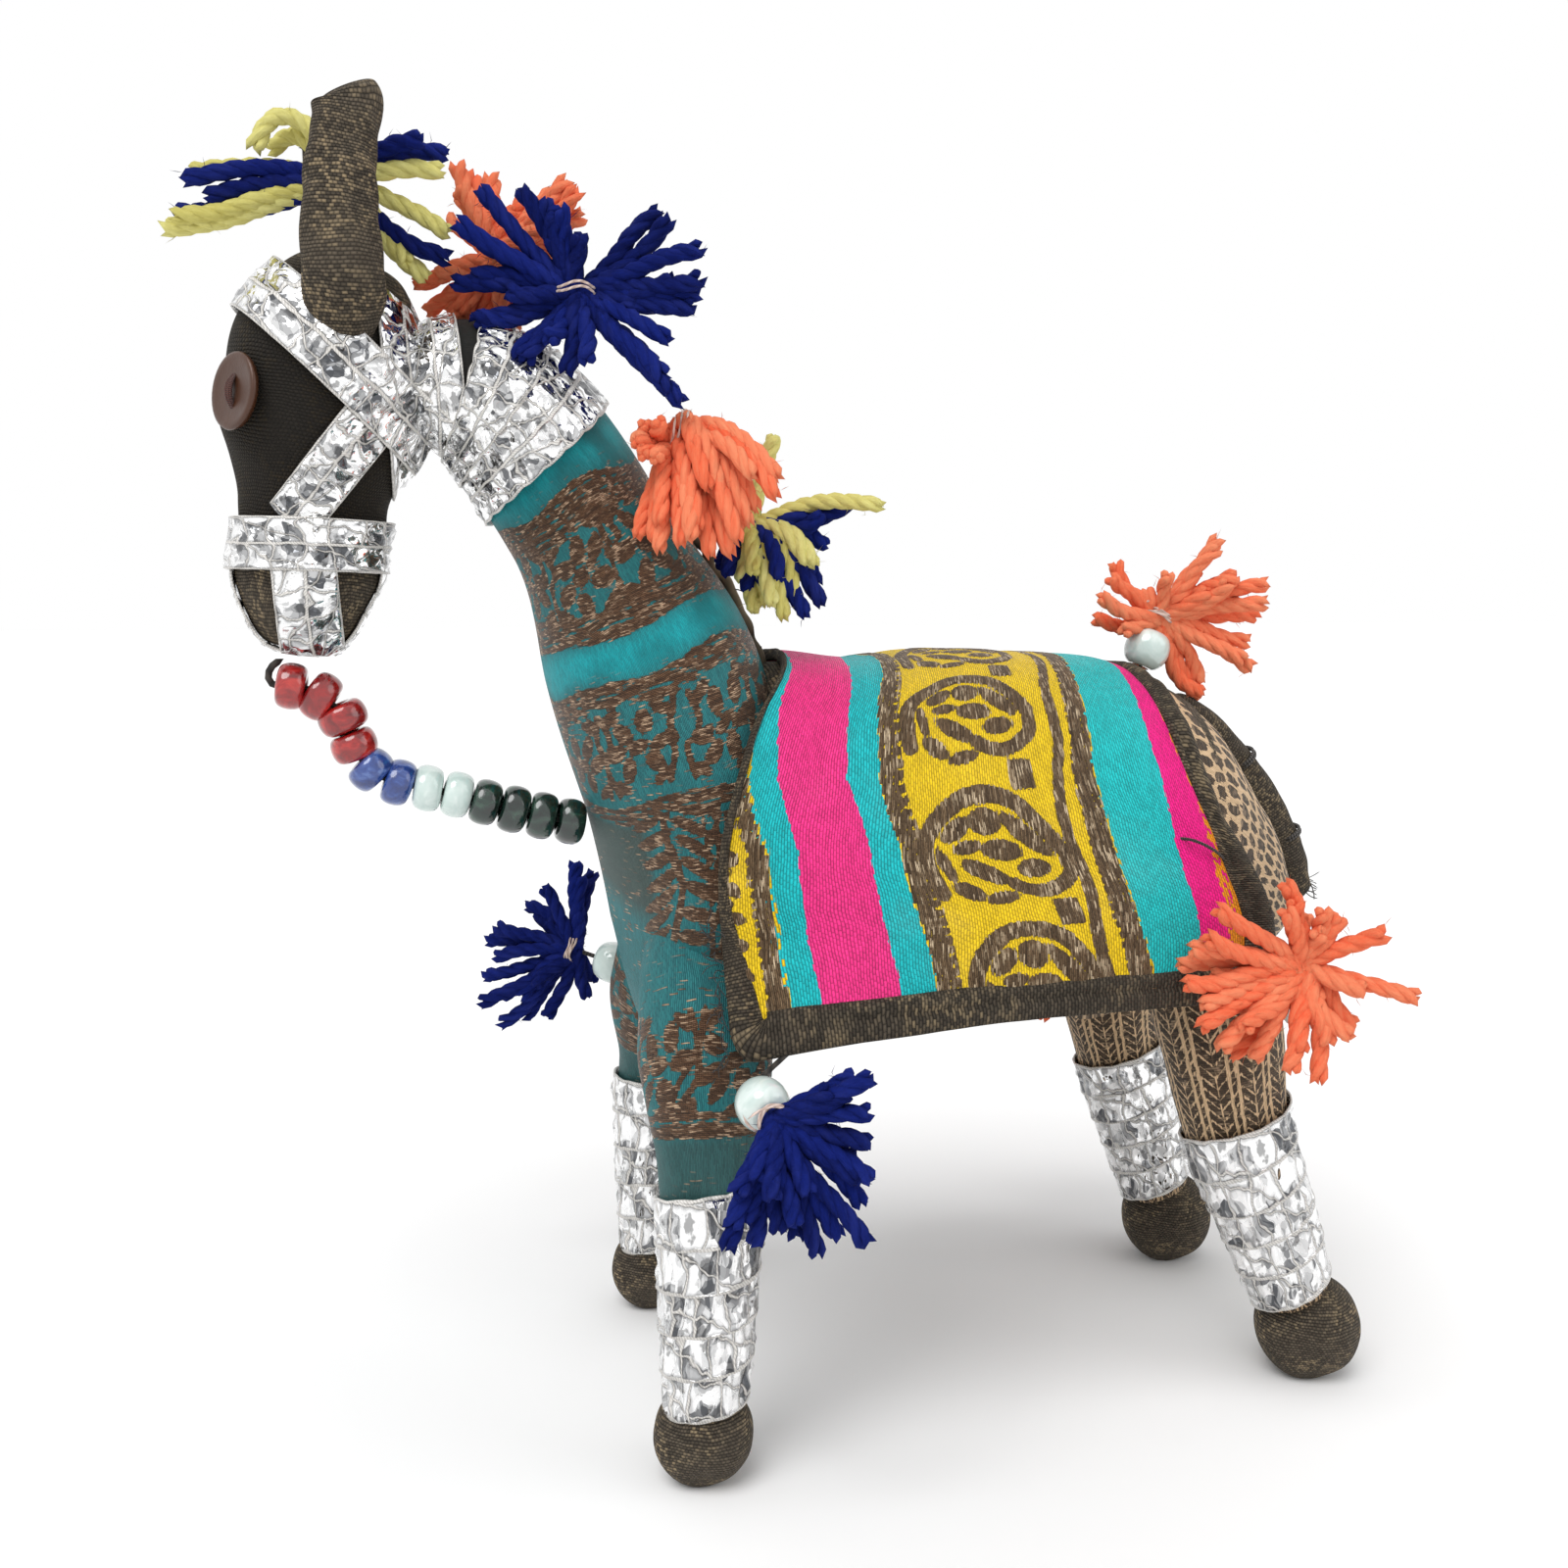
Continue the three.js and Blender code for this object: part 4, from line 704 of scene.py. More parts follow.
looks = {
    "plain_cloth": makePlainCloth(clothLook), "teal_brocade": makeTealBrocade(tealLook),
    "brown_brocade": makeBrownBrocade(brownLook), "saddle_brocade": makeSaddleBrocade(saddleLook),
    "silver_tape": makeSilverTape(foilLook), "copper_button": makeButton(),
    "thread": makeThread("darkThread", (0.008, 0.007, 0.006), (0.06, 0.05, 0.042)),
    "orange_yarn": makeYarn("orangeYarn", (0.92, 0.085, 0.025), (1.0, 0.38, 0.2)),
    "blue_yarn": makeYarn("blueYarn", (0.001, 0.002, 0.026), (0.011, 0.026, 0.26), 0.06),
    "yellow_yarn": makeYarn("yellowYarn", (0.5, 0.42, 0.06), (0.95, 0.9, 0.36)),
    "white_glass": makeGlass("whiteGlass", (0.55, 0.68, 0.64), (0.72, 0.82, 0.78), (0.85, 0.92, 0.9), 150.0),
    "red_glass": makeGlass("redGlass", (0.16, 0.003, 0.004), (0.45, 0.012, 0.012), (0.62, 0.05, 0.03), 260.0),
    "blue_glass": makeGlass("blueGlass", (0.012, 0.03, 0.16), (0.035, 0.09, 0.36), (0.2, 0.3, 0.55), 260.0),
    "green_glass": makeGlass("greenGlass", (0.003, 0.008, 0.006), (0.012, 0.04, 0.028), (0.04, 0.1, 0.06), 260.0)}
eyeThread = makeThread("eyeThread", (0.03, 0.008, 0.006), (0.16, 0.05, 0.035))
paleThread = makeThread("paleThread", (0.5, 0.36, 0.3), (0.85, 0.68, 0.6))
print("materials made")

# Patterns. Each says how deep a point lies inside a figure, in millimetres. Outside it is negative.
outside = -9.0


def blob(x, y, centre, half, tilt=0.0):
    turn = math.radians(tilt)
    dx, dy = x - centre[0], y - centre[1]
    a, b = dx * math.cos(turn) + dy * math.sin(turn), dy * math.cos(turn) - dx * math.sin(turn)
    return (1 - np.hypot(a / half[0], b / half[1])) * min(half)


def stroke(x, y, stops, width):
    stops = splineAt(np.array([(*s, 0) for s in stops], float), np.linspace(0, 1, 6 * len(stops)))[:, :2]
    best = np.full(np.shape(x), 99.0)
    for (ax, ay), (bx, by) in zip(stops, stops[1:]):
        lx, ly = bx - ax, by - ay
        t = np.clip(((x - ax) * lx + (y - ay) * ly) / max(lx * lx + ly * ly, 1e-9), 0, 1)
        best = np.minimum(best, np.hypot(x - ax - t * lx, y - ay - t * ly))
    return width / 2 - best


def flowers(x, y, pitch, seed):
    # A row of flowers of brown metal thread: seven petals each, with leaves between them.
    pick = np.random.default_rng(seed)
    cell, local = np.floor(x / pitch), np.mod(x, pitch) - pitch / 2
    deep = np.full(np.shape(x), outside)
    for number in np.unique(cell):
        here = cell == number
        lx, ly = local[here] + pick.uniform(-0.8, 0.8), y[here] + pick.uniform(-0.8, 0.8)
        turn, made = pick.uniform(0, 60), [blob(lx, ly, (0, 0), (1.7, 1.4))]
        for k in range(6):
            angle = math.radians(turn + 60 * k + pick.uniform(-9, 9))
            reach = 4.0 + pick.uniform(-0.4, 0.6)
            made.append(blob(lx, ly, (reach * math.cos(angle), reach * math.sin(angle)), (2.25, 1.45),
                             math.degrees(angle) + pick.uniform(-25, 25)))
        for way in (-1, 1):
            made += [stroke(lx, ly, [(way * 6.4, -7), (way * 5.2, -2.5), (way * 6.6, 1.5), (way * 5.4, 7)], 1.2),
                     blob(lx, ly, (way * 4.4, -6), (2.4, 1.1), 30 * way),
                     blob(lx, ly, (way * 4.2, 5.8), (2.2, 1.0), -35 * way)]
        deep[here] = np.maximum.reduce(made)
    return deep


def lined(y, low, high, pitch=1.45):
    # A border of brown lines between two heights.
    lines = 0.4 * pitch - np.abs(np.mod(y - low, pitch) - pitch / 2)
    return np.minimum(np.minimum(y - low, high - y), lines)


def neckPattern(share, angle):
    s = neck.at(neck.run[:, None], share)[:, 0]
    # fold is the angle from the throat, the same on both sides
    fold = np.abs((np.degrees(angle) % 360) - 270)
    fold = np.where(fold > 180, 360 - fold, fold)
    s = s + 0.8 * ripple(fold, s, 70, 5)
    across = np.radians(fold) * np.interp(s, [0, 47, 48, 79, 80, 110, 137], [14, 14, 15, 19, 20, 25, 25])
    upper = np.maximum.reduce([
        lined(s, 36, 42.5), lined(s, 55, 60, 1.3), lined(s, 67, 71.5, 1.3), lined(s, 88.5, 92.5, 1.3),
        np.where((s > 42) & (s < 55.5), flowers(across + 3, s - 48.8, 12.6, 11), outside),
        np.where((s > 72) & (s < 88.5), flowers(across, s - 80, 14.2, 12), outside)])
    vine = [stroke(fold, s, [(66, 86), (60, 95), (66, 104), (58, 113), (52, 122), (56, 134)], 3.2)]
    for k in range(13):
        at = 90 + 3.5 * k
        f = np.interp(at, [90, 104, 113, 122, 134], [63, 66, 58, 52, 56])
        vine += [blob(fold, s, (f + way * 11, at + 1.6 * way), (11, 1.25), 9 * way + 5 * math.sin(7 * k))
                 for way in (-1, 1)]
    lower = np.where((s > 117) & (fold > 40), flowers(across, s - 124, 13, 14), outside)
    rungs = 0.4 - np.abs(np.mod(fold + 1.6 * s, 7) - 3.5)
    side = np.where((s > 92.5) & (s < 118) & (fold > 80),
                    np.maximum(flowers(across, np.mod(s - 92, 12.5) - 6.2, 12, 15), rungs), outside)
    satin = np.clip(1.5 - np.abs(s - 63.5) / 3, 0, 1) + np.clip(1.5 - np.abs(s - 30.5) / 4, 0, 1)
    grey = np.clip((s - 91) / 2, 0, 1) * np.clip((52 - fold) / 6, 0, 1) * np.clip((112 - s) / 5, 0, 1)
    return {"zari": np.where(s > 92, np.maximum.reduce([*vine, lower, side]), upper),
            "satin": np.clip(satin, 0, 1), "grey": grey, "bare": np.clip((25 - s) / 2, 0, 1)}


def frontLegPattern(form):
    def values(share, angle):
        across = np.mod(angle, fullTurn) * form.at(form.girth, share).mean(1)
        z = form.at(form.line, share)[:, 2]
        zari = np.maximum(np.where(z > 61, flowers(across, z - 68, 13, 16), outside), lined(z, 57.5, 61, 1.2))
        return {"zari": zari, "satin": np.clip((58 - z) / 3, 0, 0.25), "grey": np.clip((59 - z) / 3, 0, 0.7)}
    return values


# Where the saddle's stripes meet, as u at distances v from the ridge.
stripeRows = [0, 0.1, 0.3, 0.4, 0.46, 0.52, 0.6, 0.7, 0.8, 0.9, 1.0]
stripeEdges = [
    [-1.3, -1.15, -0.98, -0.95, -0.93, -0.88, -0.8, -0.79, -0.79, -0.78, -0.78],
    [-0.95, -0.94, -0.92, -0.86, -0.83, -0.77, -0.71, -0.7, -0.71, -0.69, -0.68],
    [-0.66, -0.65, -0.6, -0.57, -0.56, -0.5, -0.46, -0.45, -0.45, -0.42, -0.42],
    [-0.47, -0.47, -0.48, -0.45, -0.44, -0.41, -0.36, -0.35, -0.33, -0.3, -0.29],
    [0.54, 0.53, 0.49, 0.48, 0.46, 0.455, 0.45, 0.45, 0.455, 0.49, 0.53],
    [0.83, 0.82, 0.78, 0.755, 0.745, 0.725, 0.705, 0.69, 0.69, 0.69, 0.7],
    [0.92, 0.91, 0.875, 0.865, 0.87, 0.86, 0.84, 0.82, 0.81, 0.8, 0.8]]
# One paisley to a cell: its arch, the hook at the arch's end, and the leaves as (centre, half size, tilt).
paisleyTops = [-115, -92, -66.2, -39.6, -18.2, 4.5, 27.5, 50.5, 74, 97]
paisleyCell = 24
paisleyStrokes = [
    ([(-11, 17.4), (-11.2, 12.9), (-10.8, 9.1), (-9.2, 6.3), (-6.8, 4), (-3.7, 2.1), (-0.5, 1.6), (2.7, 2), (5.7, 3.4),
      (8.1, 6), (10, 8.7), (11.6, 11.4)], 2.7),
    ([(11.8, 13.1), (11.5, 15.5), (9, 17.7), (6, 18.7), (3.3, 18.2), (1.3, 16.9)], 2.3)]
paisleyLeaves = [
    ((-8.4, 12.6), (3.3, 1.0), 78), ((-5.3, 6.7), (2.9, 1.5), -34), ((-0.1, 5.9), (2.7, 2.2), 12),
    ((6.2, 8.7), (5.3, 1.5), 47), ((-4, 9.8), (2.4, 1.1), -6), ((1.6, 10.9), (3.4, 1.8), 10),
    ((5.8, 14.4), (2.8, 1.6), -5), ((-2.3, 14.4), (4.3, 1.5), 34), ((-6.4, 17.5), (2.7, 1.5), 36),
    ((-1.6, 19.4), (2.8, 1.1), -6)]


def saddlePattern(u, v):
    near = np.abs(v)
    edges = [np.interp(near, stripeRows, row) for row in stripeEdges]
    edges = [0 * near - 3] + edges + [0 * near + 3]
    stripe = np.zeros_like(u)
    for k, (low, high) in enumerate(zip(edges, edges[1:])):
        here = (u >= low) & (u < high)
        stripe[here] = (k + (u - low) / (high - low))[here]
    x, w = u * clothHalfLength, v * clothHalfSpan
    left, right = edges[4] * clothHalfLength, edges[5] * clothHalfLength
    cell = np.interp(w, paisleyTops, np.arange(len(paisleyTops)))
    px = x - np.interp(w, [-80, -66, -51, -28, 0, 40, 80], [3.6, 1.4, -1.0, -3.3, -3.0, -2, -0.5])
    px = px * np.interp(w, [-78, -66, -51, -28], [1.14, 1.04, 1.0, 0.94])
    zari = np.full(np.shape(u), outside)
    for k in range(len(paisleyTops)):
        here = (cell > k - 1.2) & (cell < k + 0.3)
        if here.any():
            ax, ay = px[here], (k - cell[here]) * paisleyCell
            zari[here] = np.maximum.reduce([
                zari[here], *(stroke(ax, ay, *given) for given in paisleyStrokes),
                *(blob(ax, ay, *given) for given in paisleyLeaves),
                np.minimum(2.1 - np.abs(ax - 8.2), 2.4 - np.abs(ay + 1.1))])
    vine = 1.0 - np.abs(x - (right - 7.2 + 0.6 * np.sin(fullTurn * cell)))
    # borders of wide lines broken into specks, and of fine dotted lines
    specks = np.minimum(np.abs(np.mod(w, 1.9) - 0.95) - 0.28, 1)
    dots = np.abs(np.mod(w, 1.1) - 0.55) - 0.2
    only = lambda where, figure: np.where(where, figure, 1.0)
    toRear, toFront = x - right, x - left
    rear = np.minimum.reduce([2.1 - np.abs(toRear + 2.1), only(np.abs(toRear + 2.1) > 1.5, specks),
                              only(np.abs(toRear + 1.4) < 0.16, dots)])
    front = np.minimum.reduce([2.1 - np.abs(toFront - 2.1), only(np.abs(toFront - 3.5) < 0.5, specks),
                               only(np.abs(np.abs(toFront - 1.75) - 0.6) < 0.14, dots)])
    panel = np.minimum(edges[1] * clothHalfLength - x - 0.3, 12)
    leaf, along = np.mod(w, 5.2), panel - 6.4
    corner = np.maximum.reduce([
        np.minimum.reduce([panel, 3.6 - panel, only(panel > 2.7, specks), only(np.abs(panel - 1.4) < 0.15, dots)]),
        blob(along, leaf, (-0.4, 1.4), (1.7, 1.0), 50), blob(along, leaf, (1.3, 3.6), (1.9, 1.0), -40),
        np.minimum(0.7 - np.abs(along - 2.7), 1.4 - np.abs(leaf - 1.2)), 0.7 - np.abs(along - 4.4)])
    field = np.where((x > left) & (x < right), np.maximum.reduce([zari, vine, rear, front]), outside)
    return {"stripe": stripe, "zari": np.maximum(field, np.where((x < left - 4) & (panel > 0), corner, outside))}


def sewnOn(piece, body, slot, *nodes, fill=None, material=None):
    piece.data.materials.append(material or looks[slot])
    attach(piece, body)
    if nodes:
        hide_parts(*nodes)
    return piece


upper = lambda angle: np.clip(np.sin(angle), 0, 1)
allOf = lambda label, value: (lambda share, angle: {label: value + 0 * share})
# the barrel swells under the saddle's front ridge, and the rump is sunk under the tail
raisedFront = lambda share, angle: (
    10 * np.clip((0.3 - share) / 0.17, 0, 1) ** 1.3 * np.clip(share / 0.06, 0, 1) * upper(angle) ** 2 - 0.3)
sunkRump = lambda share, angle: (
    -3.4 * np.clip((share - 0.7) / 0.1, 0, 1) * np.clip((1 - share) / 0.1, 0, 1) * upper(angle))
faceShade = lambda share, angle: {
    "shade": np.clip((0.8 - share) / 0.08, 0, 1) * np.clip((share - 0.02) / 0.1, 0.3, 1)}
barrel = formMesh("barrelCloth", torso, 96, 96, (30, 0.35, 1), raisedFront, span=(0.0, 0.66))
sewnOn(barrel, "horse", "plain_cloth", "barrel", fill=0.9)
rump = formMesh("rumpCloth", torso, 110, 90, (24, 0.3, 2), sunkRump, allOf("trellis", 0.0), (0.6, 1.0))
sewnOn(rump, "horse", "brown_brocade", "rump", fill=0.9)
neckCloth = formMesh("neckCloth", neck, 250, 300, (22, 0.35, 3), values=neckPattern)
sewnOn(neckCloth, "horse", "teal_brocade", "neck", fill=0.9)
headCloth = formMesh("headCloth", head, 96, 110, (18, 0.25, 4), values=faceShade)
sewnOn(headCloth, "horse", "plain_cloth", "head", fill=0.95)
for side, way in sides:
    ear = formMesh(f"earCloth_{side}", earForm(way), 48, 64, (14, 0.2, 5 + way))
    sewnOn(ear, "horse", "plain_cloth", f"ear_{side}", fill=0.7)
    for end in ends:
        leg = legForm(end, way)
        cloth = formMesh(f"{end}LegCloth_{side}", leg, 110, 140, (16, 0.25, 9 + way),
                         values=frontLegPattern(leg) if end == "front" else allOf("trellis", 1.0))
        sewnOn(cloth, "horse", "teal_brocade" if end == "front" else "brown_brocade", f"{end}_leg_{side}", fill=0.9)
tailCloth = formMesh("tailCloth", tail, 40, 70, (14, 0.15, 14), values=allOf("shade", 0.3))
sewnOn(tailCloth, "horse", "plain_cloth", "tail", fill=0.6)


def hoofMesh(name, centre, radius):
    def place(u, v):
        turn, fall = fullTurn * u, math.pi * v
        out = np.stack([np.cos(turn) * np.sin(fall), np.sin(turn) * np.sin(fall), np.cos(fall)], 1)
        lumpy = ripple(out[:, 0] * 7 + out[:, 2] * 5, out[:, 1] * 7, 8, 21)
        point = np.array(centre) + out * radius * (1 + 0.02 * lumpy[:, None])
        point[:, 2] = np.maximum(point[:, 2], 0.0)
        return point

    return gridMesh(name, 64, 48, place, lambda u, v: (u * fullTurn * radius, v * math.pi * radius), closed=True)


for side, way in sides:
    for end in ends:
        s = legSettings[end]
        centre = (s["hoofX"] + (s["hoofShift"] if way > 0 else 0), way * s["out"], s["hoof"] - 0.5)
        hoof = hoofMesh(f"hoofCloth_{end}_{side}", centre, s["hoof"])
        sewnOn(hoof, "horse", "plain_cloth", f"hoof_{end}_{side}", fill=0.95)
print("stuffed body sewn")


def treeOf(*pieces):
    points, faces = [], []
    for piece in pieces:
        first = len(points)
        points += [tuple(1000 * np.array(v.co) - toMiddle) for v in piece.data.vertices]
        faces += [tuple(first + i for i in p.vertices) for p in piece.data.polygons]
    return BVHTree.FromPolygons(points, faces)


headAndNeckTree, headTree, neckTree = treeOf(headCloth, neckCloth), treeOf(headCloth), treeOf(neckCloth)
# Tape: square is the length of one foil square and lane the width of one row, in millimetres.
tapeSettings = {"thickness": 0.00035, "square": 4.4, "lane": 5, "crinkle": 0.34, "thread": 0.3, "threadHalf": 0.25}


def tapeRelief(squares, lanes, seed):
    # Foil squares pucker between raised threads.
    s = tapeSettings
    inSquare = np.abs(np.sin(math.pi * squares)) * np.abs(np.sin(math.pi * lanes))
    toThread = np.minimum(np.abs(squares - np.rint(squares)) * s["square"], np.abs(lanes - np.rint(lanes)) * s["lane"])
    onThread = np.exp(-(toThread / s["threadHalf"]) ** 2)
    return (s["crinkle"] * ripple(squares * s["square"], lanes * s["lane"], 3.0, seed) * inSquare
            + s["thread"] * onThread)


def woundTape(name, form, start, end, turns, lanes, node, seed):
    pitch = (end - start) / (turns + 1)
    width = 1.04 * pitch
    length = turns * fullTurn * form.at(form.girth, np.array([(start + end) / 2])).mean()
    squares = length / tapeSettings["square"]

    def place(u, v):
        scallop = 1 + 0.05 * np.abs(np.sin(math.pi * v * squares))
        share = start + pitch / 2 + v * turns * pitch + (u - 0.5) * width * scallop
        return form.point(share, fullTurn * turns * v, 0.85 + 0.35 * u + tapeRelief(v * squares, u * lanes, seed))

    tape = gridMesh(name, 8 * lanes, int(length / 0.45), place, lambda u, v: (v * squares, u * lanes))
    thicken(tape, tapeSettings["thickness"], -1)
    sewnOn(tape, "horse", "silver_tape", node)


for side, way in sides:
    for end in ends:
        leg, s = legForm(end, way), legSettings[end]
        top, foot = (float(np.interp(-z, -leg.line[:, 2], leg.shares)) for z in (s["tapeTop"][way], s["tapeFoot"]))
        woundTape(f"legTape_{end}_{side}", leg, top, foot, 5, 1, f"leg_wrap_{end}_{side}", 31 + way + len(end))
woundTape("neckTape", neck, 0.07, 0.29, 2, 2, "neck_wrap", 38)


def bandOver(name, tree, centre, normal, width, lanes, lift, node, keep=None):
    # A band laid round the cloth in the plane across normal, where keep says so.
    centre, normal = np.array(centre, float), unit(np.array(normal, float))
    first = unit(np.cross(normal, [0.0, 1.0, 0.0] if abs(normal[1]) < 0.9 else [1.0, 0.0, 0.0]))
    second = np.cross(normal, first)

    def shot(offset, angle):
        middle = centre + offset * normal
        way = math.cos(angle) * first + math.sin(angle) * second
        hit = tree.ray_cast(Vector(middle + 60 * way), Vector(-way))[0]
        return np.array(hit) if hit is not None else middle

    start, stop = 0.0, fullTurn
    wanted = np.array([keep(shot(0, a)) if keep else True for a in np.linspace(0, fullTurn, 361)])
    if not wanted.all():
        shift = int(np.argmax(~wanted))
        run = wanted[(np.arange(360) + shift) % 360]
        begin = int(np.argmax(run))
        until = begin + int(np.argmin(run[begin:])) if (~run[begin:]).any() else 360
        start, stop = math.radians(shift + begin), math.radians(shift + until - 1)
    length = lengthOf(np.array([shot(0, a) for a in np.linspace(start, stop, 121)])).sum()
    squares = max(1, round(length / tapeSettings["square"]))

    def place(u, v):
        angles, offsets = start + (stop - start) * v, (u - 0.5) * width
        made, base = (np.array([shot(o, a) for o, a in zip(lane, angles)]) for lane in (offsets, 0 * offsets))
        # where the edge of the tape misses the head, it runs on straight
        far = np.linalg.norm(made - base, axis=1) > 1.4 * np.abs(offsets) + 2
        made = np.where(far[:, None], base + offsets[:, None] * normal, made)
        middle = centre + offsets[:, None] * normal
        return made + unit(made - middle) * (lift + tapeRelief(v * squares, u * lanes, 40))[:, None]

    band = gridMesh(name, 6 * lanes, int(length / 0.6), place, lambda u, v: (v * squares, u * lanes))
    thicken(band, tapeSettings["thickness"], 0)
    sewnOn(band, "horse", "silver_tape", node)


fromCrown = lambda dx, dz: np.array([crownX + dx, 0, crownZ + dz])
noseZ, muzzleAt, muzzleX = crownZ - 45.9, fromCrown(-9.4, -54), crownX - 9.4
browAt, browWay = fromCrown(2, -21.5), unit(np.array([0.69, 0, 0.72]))
throatAt, throatWay = fromCrown(9.7, -17.5), unit(np.array([1, 0, 0.02]))
neckEdge, wrapWay = neck.line[100], neck.along[100]
bandOver("throatBand", headAndNeckTree, throatAt, (1, 0, 0.06), 12.4, 3, 0.6, "throat_band",
         lambda p: (p - neckEdge) @ wrapWay < 0)
bandOver("browBand", headAndNeckTree, browAt, browWay, 10.4, 2, 1.2, "brow_band",
         lambda p: (p - throatAt) @ throatWay < 5.2)
bandOver("noseBand", headTree, fromCrown(-10, -45.9), (0.03, 0, 1), 8.4, 2, 1.1, "noseband")
for side, way in sides:
    onCheek = lambda p, way=way: p[2] > noseZ + 3.4 and way * p[1] > 3 and (p - browAt) @ browWay < -4
    bandOver(f"cheekStrap_{side}", headTree, fromCrown(-5.8, -35.5), (0.78, 0, -0.63), 8.4, 2, 0.8,
             f"cheek_strap_{side}", onCheek)
below = lambda p: p[2] < noseZ - 3.4
bandOver("muzzleStrapSide", headTree, muzzleAt, (1, 0, 0.06), 10.2, 2, 0.8, "muzzle_strap_side", below)
for end, way in (("front", -1), ("back", 1)):
    onHalf = lambda p, way=way: below(p) and way * (p[0] - muzzleX) > 3.4
    bandOver(f"muzzleStrap_{end}", headTree, muzzleAt, (0, 1, 0), 6.4, 1, 0.6, f"muzzle_strap_{end}", onHalf)
print("silver tape wound")

buttonOutline = [(1.08 * r, z) for r, z in [
    (0.0, 0.55), (2.4, 0.6), (4.6, 0.72), (5.2, 0.85), (5.6, 0.7), (5.7, 0.35), (5.4, -0.4), (0.0, -0.4)]]
eyeShare = 0.36
for side, way in sides:
    angle = math.radians(-124 if way < 0 else -56)
    facing = unit(head.point([eyeShare], [angle], 10)[0] - head.point([eyeShare], [angle], 0)[0])
    spot = head.point([eyeShare], [angle + 0.1 * way])[0] + 0.5 * facing
    button = turned(f"eyeButton_{side}", buttonOutline, 40, spot, facing, False)
    sewnOn(button, "horse", "copper_button", f"eye_{side}")
    tall = unit(np.array([0.0, 0, 1]) - facing * facing[2])
    wide = np.cross(tall, facing)
    stitches = []
    for k in range(7):
        across, bend = wide * (k - 3) * 0.22, 0.25 * math.sin(2.3 * k)
        stitches.append(routeThrough([spot + facing * up + tall * high + share * across for up, high, share in [
            (0.2, 2.7 + bend, 0.3), (1.15 + 0.1 * (k % 2), 1.2, 1), (1.2 + 0.1 * (k % 3), -1.1, 1),
            (0.2, bend - 2.8, 0.3)]], 16))
    sewnOn(tubes(f"eyeKnot_{side}", stitches, 0.26, 6, 16), "horse", "thread", material=eyeThread)
print("eyes sewn on")

sheetU, sheetV = 1 - 2 / clothHalfLength, 1 - 2 / clothHalfSpan


def saddleFlat(u, v):
    # The grid is closer in the middle, where the paisleys are.
    return np.interp(u, [0, 0.17, 0.83, 1], [-1, -0.5, 0.56, 1]) * sheetU, (2 * v - 1) * sheetV


def saddlePlace(u, v):
    a, b = saddleFlat(u, v)
    raised = np.clip(saddlePattern(a, b)["zari"] / 0.5 + 0.5, 0, 1) * 0.16
    return clothPoint(a, b) + clothNormal(a, b) * (0.25 * ripple(a * 40, b * 80, 26, 50) + raised)[:, None]


saddle = gridMesh("saddleCloth", 152, 300, saddlePlace,
                  lambda u, v: np.array(saddleFlat(u, v)) * [[clothHalfLength], [clothHalfSpan]],
                  lambda u, v: saddlePattern(*saddleFlat(u, v)))
thicken(saddle, 0.001, 0)
sewnOn(saddle, "horse", "saddle_brocade", "saddle_cloth")
bindingSettings = {"inset": 2.7, "corner": 2.9, "half": 2.9, "thickness": 1.75}


def bindingPath(along):
    # Where the binding's middle runs on the flat cloth, in millimetres: four corners, each with the side after it.
    r, inset = bindingSettings["corner"], bindingSettings["inset"]
    a, b = clothHalfLength - inset - r, clothHalfSpan - inset - r
    bend, straights = math.pi / 2 * r, [2 * b, 2 * a] * 2
    total, begin = 4 * bend + sum(straights), 0.0
    at = np.mod(along, 1.0) * total
    place, out = np.zeros((len(at), 2)), np.zeros((len(at), 2))
    for k, (straight, centre) in enumerate(zip(straights, [(a, -b), (a, b), (-a, b), (-a, -b)])):
        here = (at >= begin) & (at <= begin + bend + straight)
        t = at[here] - begin
        angle = math.pi / 2 * (k - 1 + np.clip(t / bend, 0, 1))
        way = (-round(math.sin(math.pi / 2 * k)), round(math.cos(math.pi / 2 * k)))
        out[here] = np.stack([np.cos(angle), np.sin(angle)], 1)
        place[here] = centre + r * out[here] + np.outer(np.maximum(t - bend, 0), way)
        begin += bend + straight
    return place, out, total


def bindingPlace(u, v):
    centre, out, total = bindingPath(v)
    angle, rimAngle = fullTurn * u, fullTurn * v
    # slim along the front edge, down to where the corner is folded over
    slim = np.clip(-out[:, 0], 0, 1) * np.clip((0.98 - np.abs(centre[:, 1]) / clothHalfSpan) / 0.32, 0, 1)
    reach = np.cos(angle) * (bindingSettings["half"] - 2.2 * slim + 1.0 * np.abs(out[:, 1]) ** 2)
    groove = 1 - 0.5 * np.exp(-((reach + 1.1) / 0.5) ** 2) * (1 - slim)
    wobble = ripple(80 * np.cos(rimAngle) + 2 * np.cos(angle), 80 * np.sin(rimAngle) + 2 * np.sin(angle), 9, 61)
    thickness = (bindingSettings["thickness"] - 0.6 * slim + 0.15 * wobble) * groove
    a, b = (centre + out * (reach + 1.2 * slim)[:, None]).T / [[clothHalfLength], [clothHalfSpan]]
    return clothPoint(a, b) + clothNormal(a, b) * (np.sin(angle) * thickness)[:, None]


bindingLength = bindingPath(np.zeros(1))[2]
binding = gridMesh("saddleBinding", 28, 640, bindingPlace, lambda u, v: (u * 14, v * bindingLength),
                   allOf("shade", 0.3), closed=True)
sewnOn(binding, "horse", "plain_cloth", "saddle_binding")
print("saddle cloth laid")

